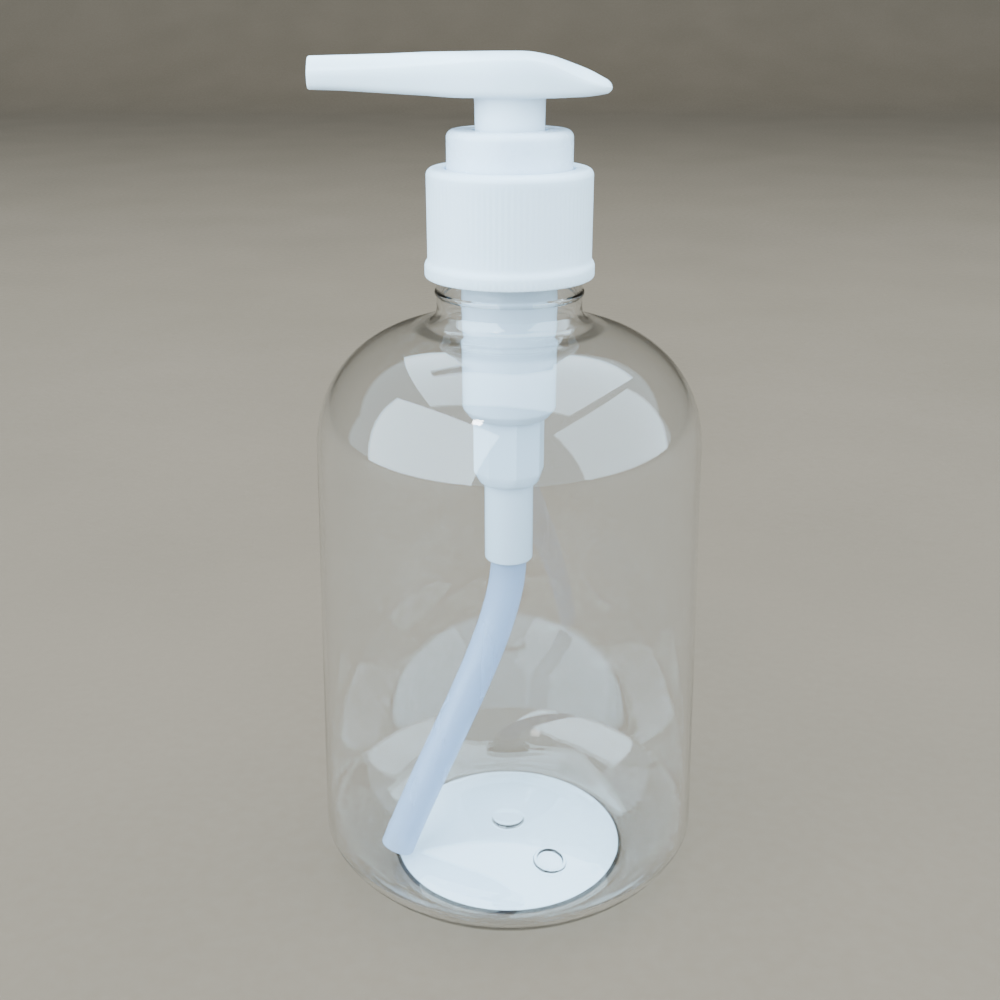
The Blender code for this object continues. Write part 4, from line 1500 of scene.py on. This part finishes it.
    def build_piston(self, finish: bpy.types.Material) -> None:
        """Makes the two-lipped piston.

        Args:
            finish: its material.
        """
        low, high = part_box("piston")
        hub, skirt, waist = self.sleeve_bore + 0.9 * MM, high.x - 0.9 * MM, high.x - 0.5 * MM
        web = low.z + 3.4 * MM
        corners = [
            (self.sleeve_bore, low.z, 0.15 * MM),
            (hub, low.z, 0.25 * MM),
            (hub, web, 0.3 * MM),
            (skirt, web, 0.3 * MM),
            (skirt, low.z + 0.9 * MM, 0.0),
            (high.x, low.z + 0.5 * MM, 0.1 * MM),
            (high.x, low.z + 1.6 * MM, 0.3 * MM),
            (waist, low.z + 2.4 * MM, 0.5 * MM),
            (waist, high.z - 2.4 * MM, 0.5 * MM),
            (high.x, high.z - 1.6 * MM, 0.3 * MM),
            (high.x, high.z, 0.2 * MM),
            (skirt, high.z, 0.2 * MM),
            (skirt, web + 1.4 * MM, 0.3 * MM),
            (hub, web + 1.4 * MM, 0.3 * MM),
            (hub, high.z, 0.25 * MM),
            (self.sleeve_bore, high.z, 0.15 * MM),
        ]
        piston = finished(spun(corners, 96), "lipped_piston", finish)
        self.fit(piston, "piston", "piston", "piston_pe")

    def build(self) -> None:
        """Builds and dresses the four pieces."""
        head_finish = MouldedPolypropylene(
            "white_head_plastic", colour=(0.80, 0.89, 0.98), shade=(0.77, 0.865, 0.96),
            roughness=0.36,
        )
        self.build_head(head_finish.build())
        self.build_stem(MouldedPolypropylene("stem_plastic", roughness=0.3).build())
        self.build_plug(MouldedPolypropylene("plug_plastic", roughness=0.4).build())
        self.build_piston(NaturalPlastic("piston_plastic", glow_share=0.2, roughness=0.42).build())


@dataclass
class InletValve(Piece):
    """The ball on its seat and the spring above it."""

    wire_radius: float = 0.45 * MM
    turns: int = 8
    per_turn: int = 40
    wire_sides: int = 14

    end_grip: float = 1.5 * MM

    def spring_route(self) -> list[Vector]:
        """Works out the centre line of the wire.

        Returns:
            Its points: a close coil at each end, and open coils between them.
        """
        low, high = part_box("return_spring")
        radius = high.x - self.wire_radius
        end_pitch = 2.2 * self.wire_radius
        pitch = (high.z - low.z - 2 * self.wire_radius - 2 * end_pitch) / (self.turns - 2)
        height = low.z + self.wire_radius
        route = []
        for i in range(self.turns * self.per_turn + 1):
            angle = FULL_TURN * i / self.per_turn
            route.append(Vector((radius * math.cos(angle), radius * math.sin(angle), height)))
            at_end = i < self.per_turn or i >= (self.turns - 1) * self.per_turn
            height += (end_pitch if at_end else pitch) / self.per_turn
        return route

    def build_spring(self, finish: bpy.types.Material) -> None:
        """Makes the spring between the pump's body and the plunger.

        Args:
            finish: its material.
        """
        up = Vector((0, 0, 1))
        rings = rings_along(self.spring_route(), self.wire_radius, self.wire_sides, up)
        skin = Loft(rings[0])
        for ring in rings[1:]:
            skin.grow(ring)
        spring = finished(skin.capped(), "coil_spring", finish)
        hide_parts("return_spring")
        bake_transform(spring)
        log.info("%s: %d faces, shortens with the stroke", spring.name, len(spring.data.polygons))

    def build_ball(self, finish: bpy.types.Material) -> None:
        """Makes the valve's ball.

        Args:
            finish: its material.
        """
        low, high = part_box("inlet_ball")
        bm = bmesh.new()
        bmesh.ops.create_icosphere(bm, subdivisions=5, radius=(high.z - low.z) / 2)
        bmesh.ops.translate(bm, verts=bm.verts, vec=(0, 0, (low.z + high.z) / 2))
        ball = finished(bm, "valve_ball", finish)
        self.fit(ball, "inlet_ball", "inlet_ball", "ball_glass")

    def build(self) -> None:
        """Builds and dresses both pieces."""
        self.build_spring(DrawnSteel("drawn_steel").build())
        self.build_ball(PressedGlass("pressed_glass").build())


# ---------------------------------------------------------------- studio

COOL_LIGHT: Colour = (0.60, 0.83, 1.0)


@dataclass(frozen=True)
class Softbox:
    """A flat studio lamp, aimed at a point on the object's axis."""

    name: str
    place: Corner
    aim_height: float
    width: float
    height: float
    power: float
    colour: Colour = (1.0, 1.0, 1.0)

    def build(self) -> None:
        """Hangs the lamp in the scene, where cameras can't see it."""
        light = bpy.data.lights.new(self.name, "AREA")
        light.shape = "RECTANGLE"
        light.size, light.size_y = self.width, self.height
        light.energy = self.power
        light.color = self.colour
        lamp = bpy.data.objects.new(self.name, light)
        lamp.location = self.place
        towards = Vector((0.0, 0.0, self.aim_height)) - Vector(self.place)
        lamp.rotation_euler = towards.to_track_quat("-Z", "Y").to_euler()
        lamp.visible_camera = False
        bpy.context.scene.collection.objects.link(lamp)


@dataclass
class Studio:
    """Floor with a curved backdrop, lamps, sky light and the camera."""

    floor_drop: float = 0.05 * MM
    half_width: float = 9.0
    front: float = -2.5
    back: float = 2.2
    curve: float = 0.8
    wall_height: float = 3.0
    sky_strength: float = 1.72
    camera_place: Corner = (-1.811 * MM, -233.95 * MM, 176.06 * MM)
    camera_tilt: float = 68.516
    lens: float = 44.30
    softboxes: tuple[Softbox, ...] = (
        Softbox("window_left", (-1.1, -0.80, 0.75), 0.10, 2.2, 1.6, 106.0, COOL_LIGHT),
        Softbox("fill_right", (1.1, -0.35, 0.60), 0.08, 1.6, 1.2, 33.0, COOL_LIGHT),
        Softbox("overhead", (0.05, 0.25, 1.15), 0.0, 1.6, 1.3, 44.0, COOL_LIGHT),
        Softbox("lamp_front", (-0.35, -0.70, 1.15), 0.05, 0.11, 0.11, 3.2),
    )

    def build_floor(self) -> None:
        """Makes the floor and the backdrop as one bent sheet."""
        bm = bmesh.new()
        profile = [(self.front, 0.0), (self.back, 0.0)]
        for i in range(1, 17):
            angle = math.pi / 2 * i / 16
            out, up = self.curve * math.sin(angle), self.curve * (1 - math.cos(angle))
            profile.append((self.back + out, up))
        profile.append((self.back + self.curve, self.wall_height))
        verts = [bm.verts.new((-self.half_width, y, z - self.floor_drop)) for y, z in profile]
        edges = [bm.edges.new(pair) for pair in zip(verts, verts[1:])]
        made = bmesh.ops.extrude_edge_only(bm, edges=edges)["geom"]
        far_side = [part for part in made if isinstance(part, bmesh.types.BMVert)]
        bmesh.ops.translate(bm, verts=far_side, vec=(2 * self.half_width, 0, 0))
        floor = finished(bm, "studio_floor", StudioFloor("pale_board").build())
        if floor.data.polygons[0].normal.z < 0:
            floor.data.flip_normals()

    def build_sky(self) -> None:
        """Sets an even, slightly cool light from all round."""
        world = bpy.data.worlds.new("soft_sky")
        world.use_nodes = True
        sky = world.node_tree.nodes["Background"]
        sky.inputs["Color"].default_value = (*COOL_LIGHT, 1.0)
        sky.inputs["Strength"].default_value = self.sky_strength
        bpy.context.scene.world = world

    def build_camera(self) -> None:
        """Sets up the camera."""
        camera = bpy.data.objects.new("camera", bpy.data.cameras.new("camera"))
        camera.data.lens = self.lens
        camera.data.sensor_width = 36.0
        camera.data.clip_start = 0.01
        camera.location = self.camera_place
        camera.rotation_euler = (math.radians(self.camera_tilt), 0.0, 0.0)
        bpy.context.scene.collection.objects.link(camera)
        bpy.context.scene.camera = camera

    def build(self) -> None:
        """Sets up the whole studio."""
        self.build_camera()
        self.build_sky()
        self.build_floor()
        for softbox in self.softboxes:
            softbox.build()


def main() -> None:
    """Builds the studio and each sub-assembly in order."""
    logging.basicConfig(level=logging.INFO, format="%(name)s: %(message)s")
    for part in (Studio(), Bottle(), Closure(), PumpBody(), Plunger(), InletValve()):
        log.info("building %s", type(part).__name__)
        part.build()


if __name__ == "__main__":
    main()
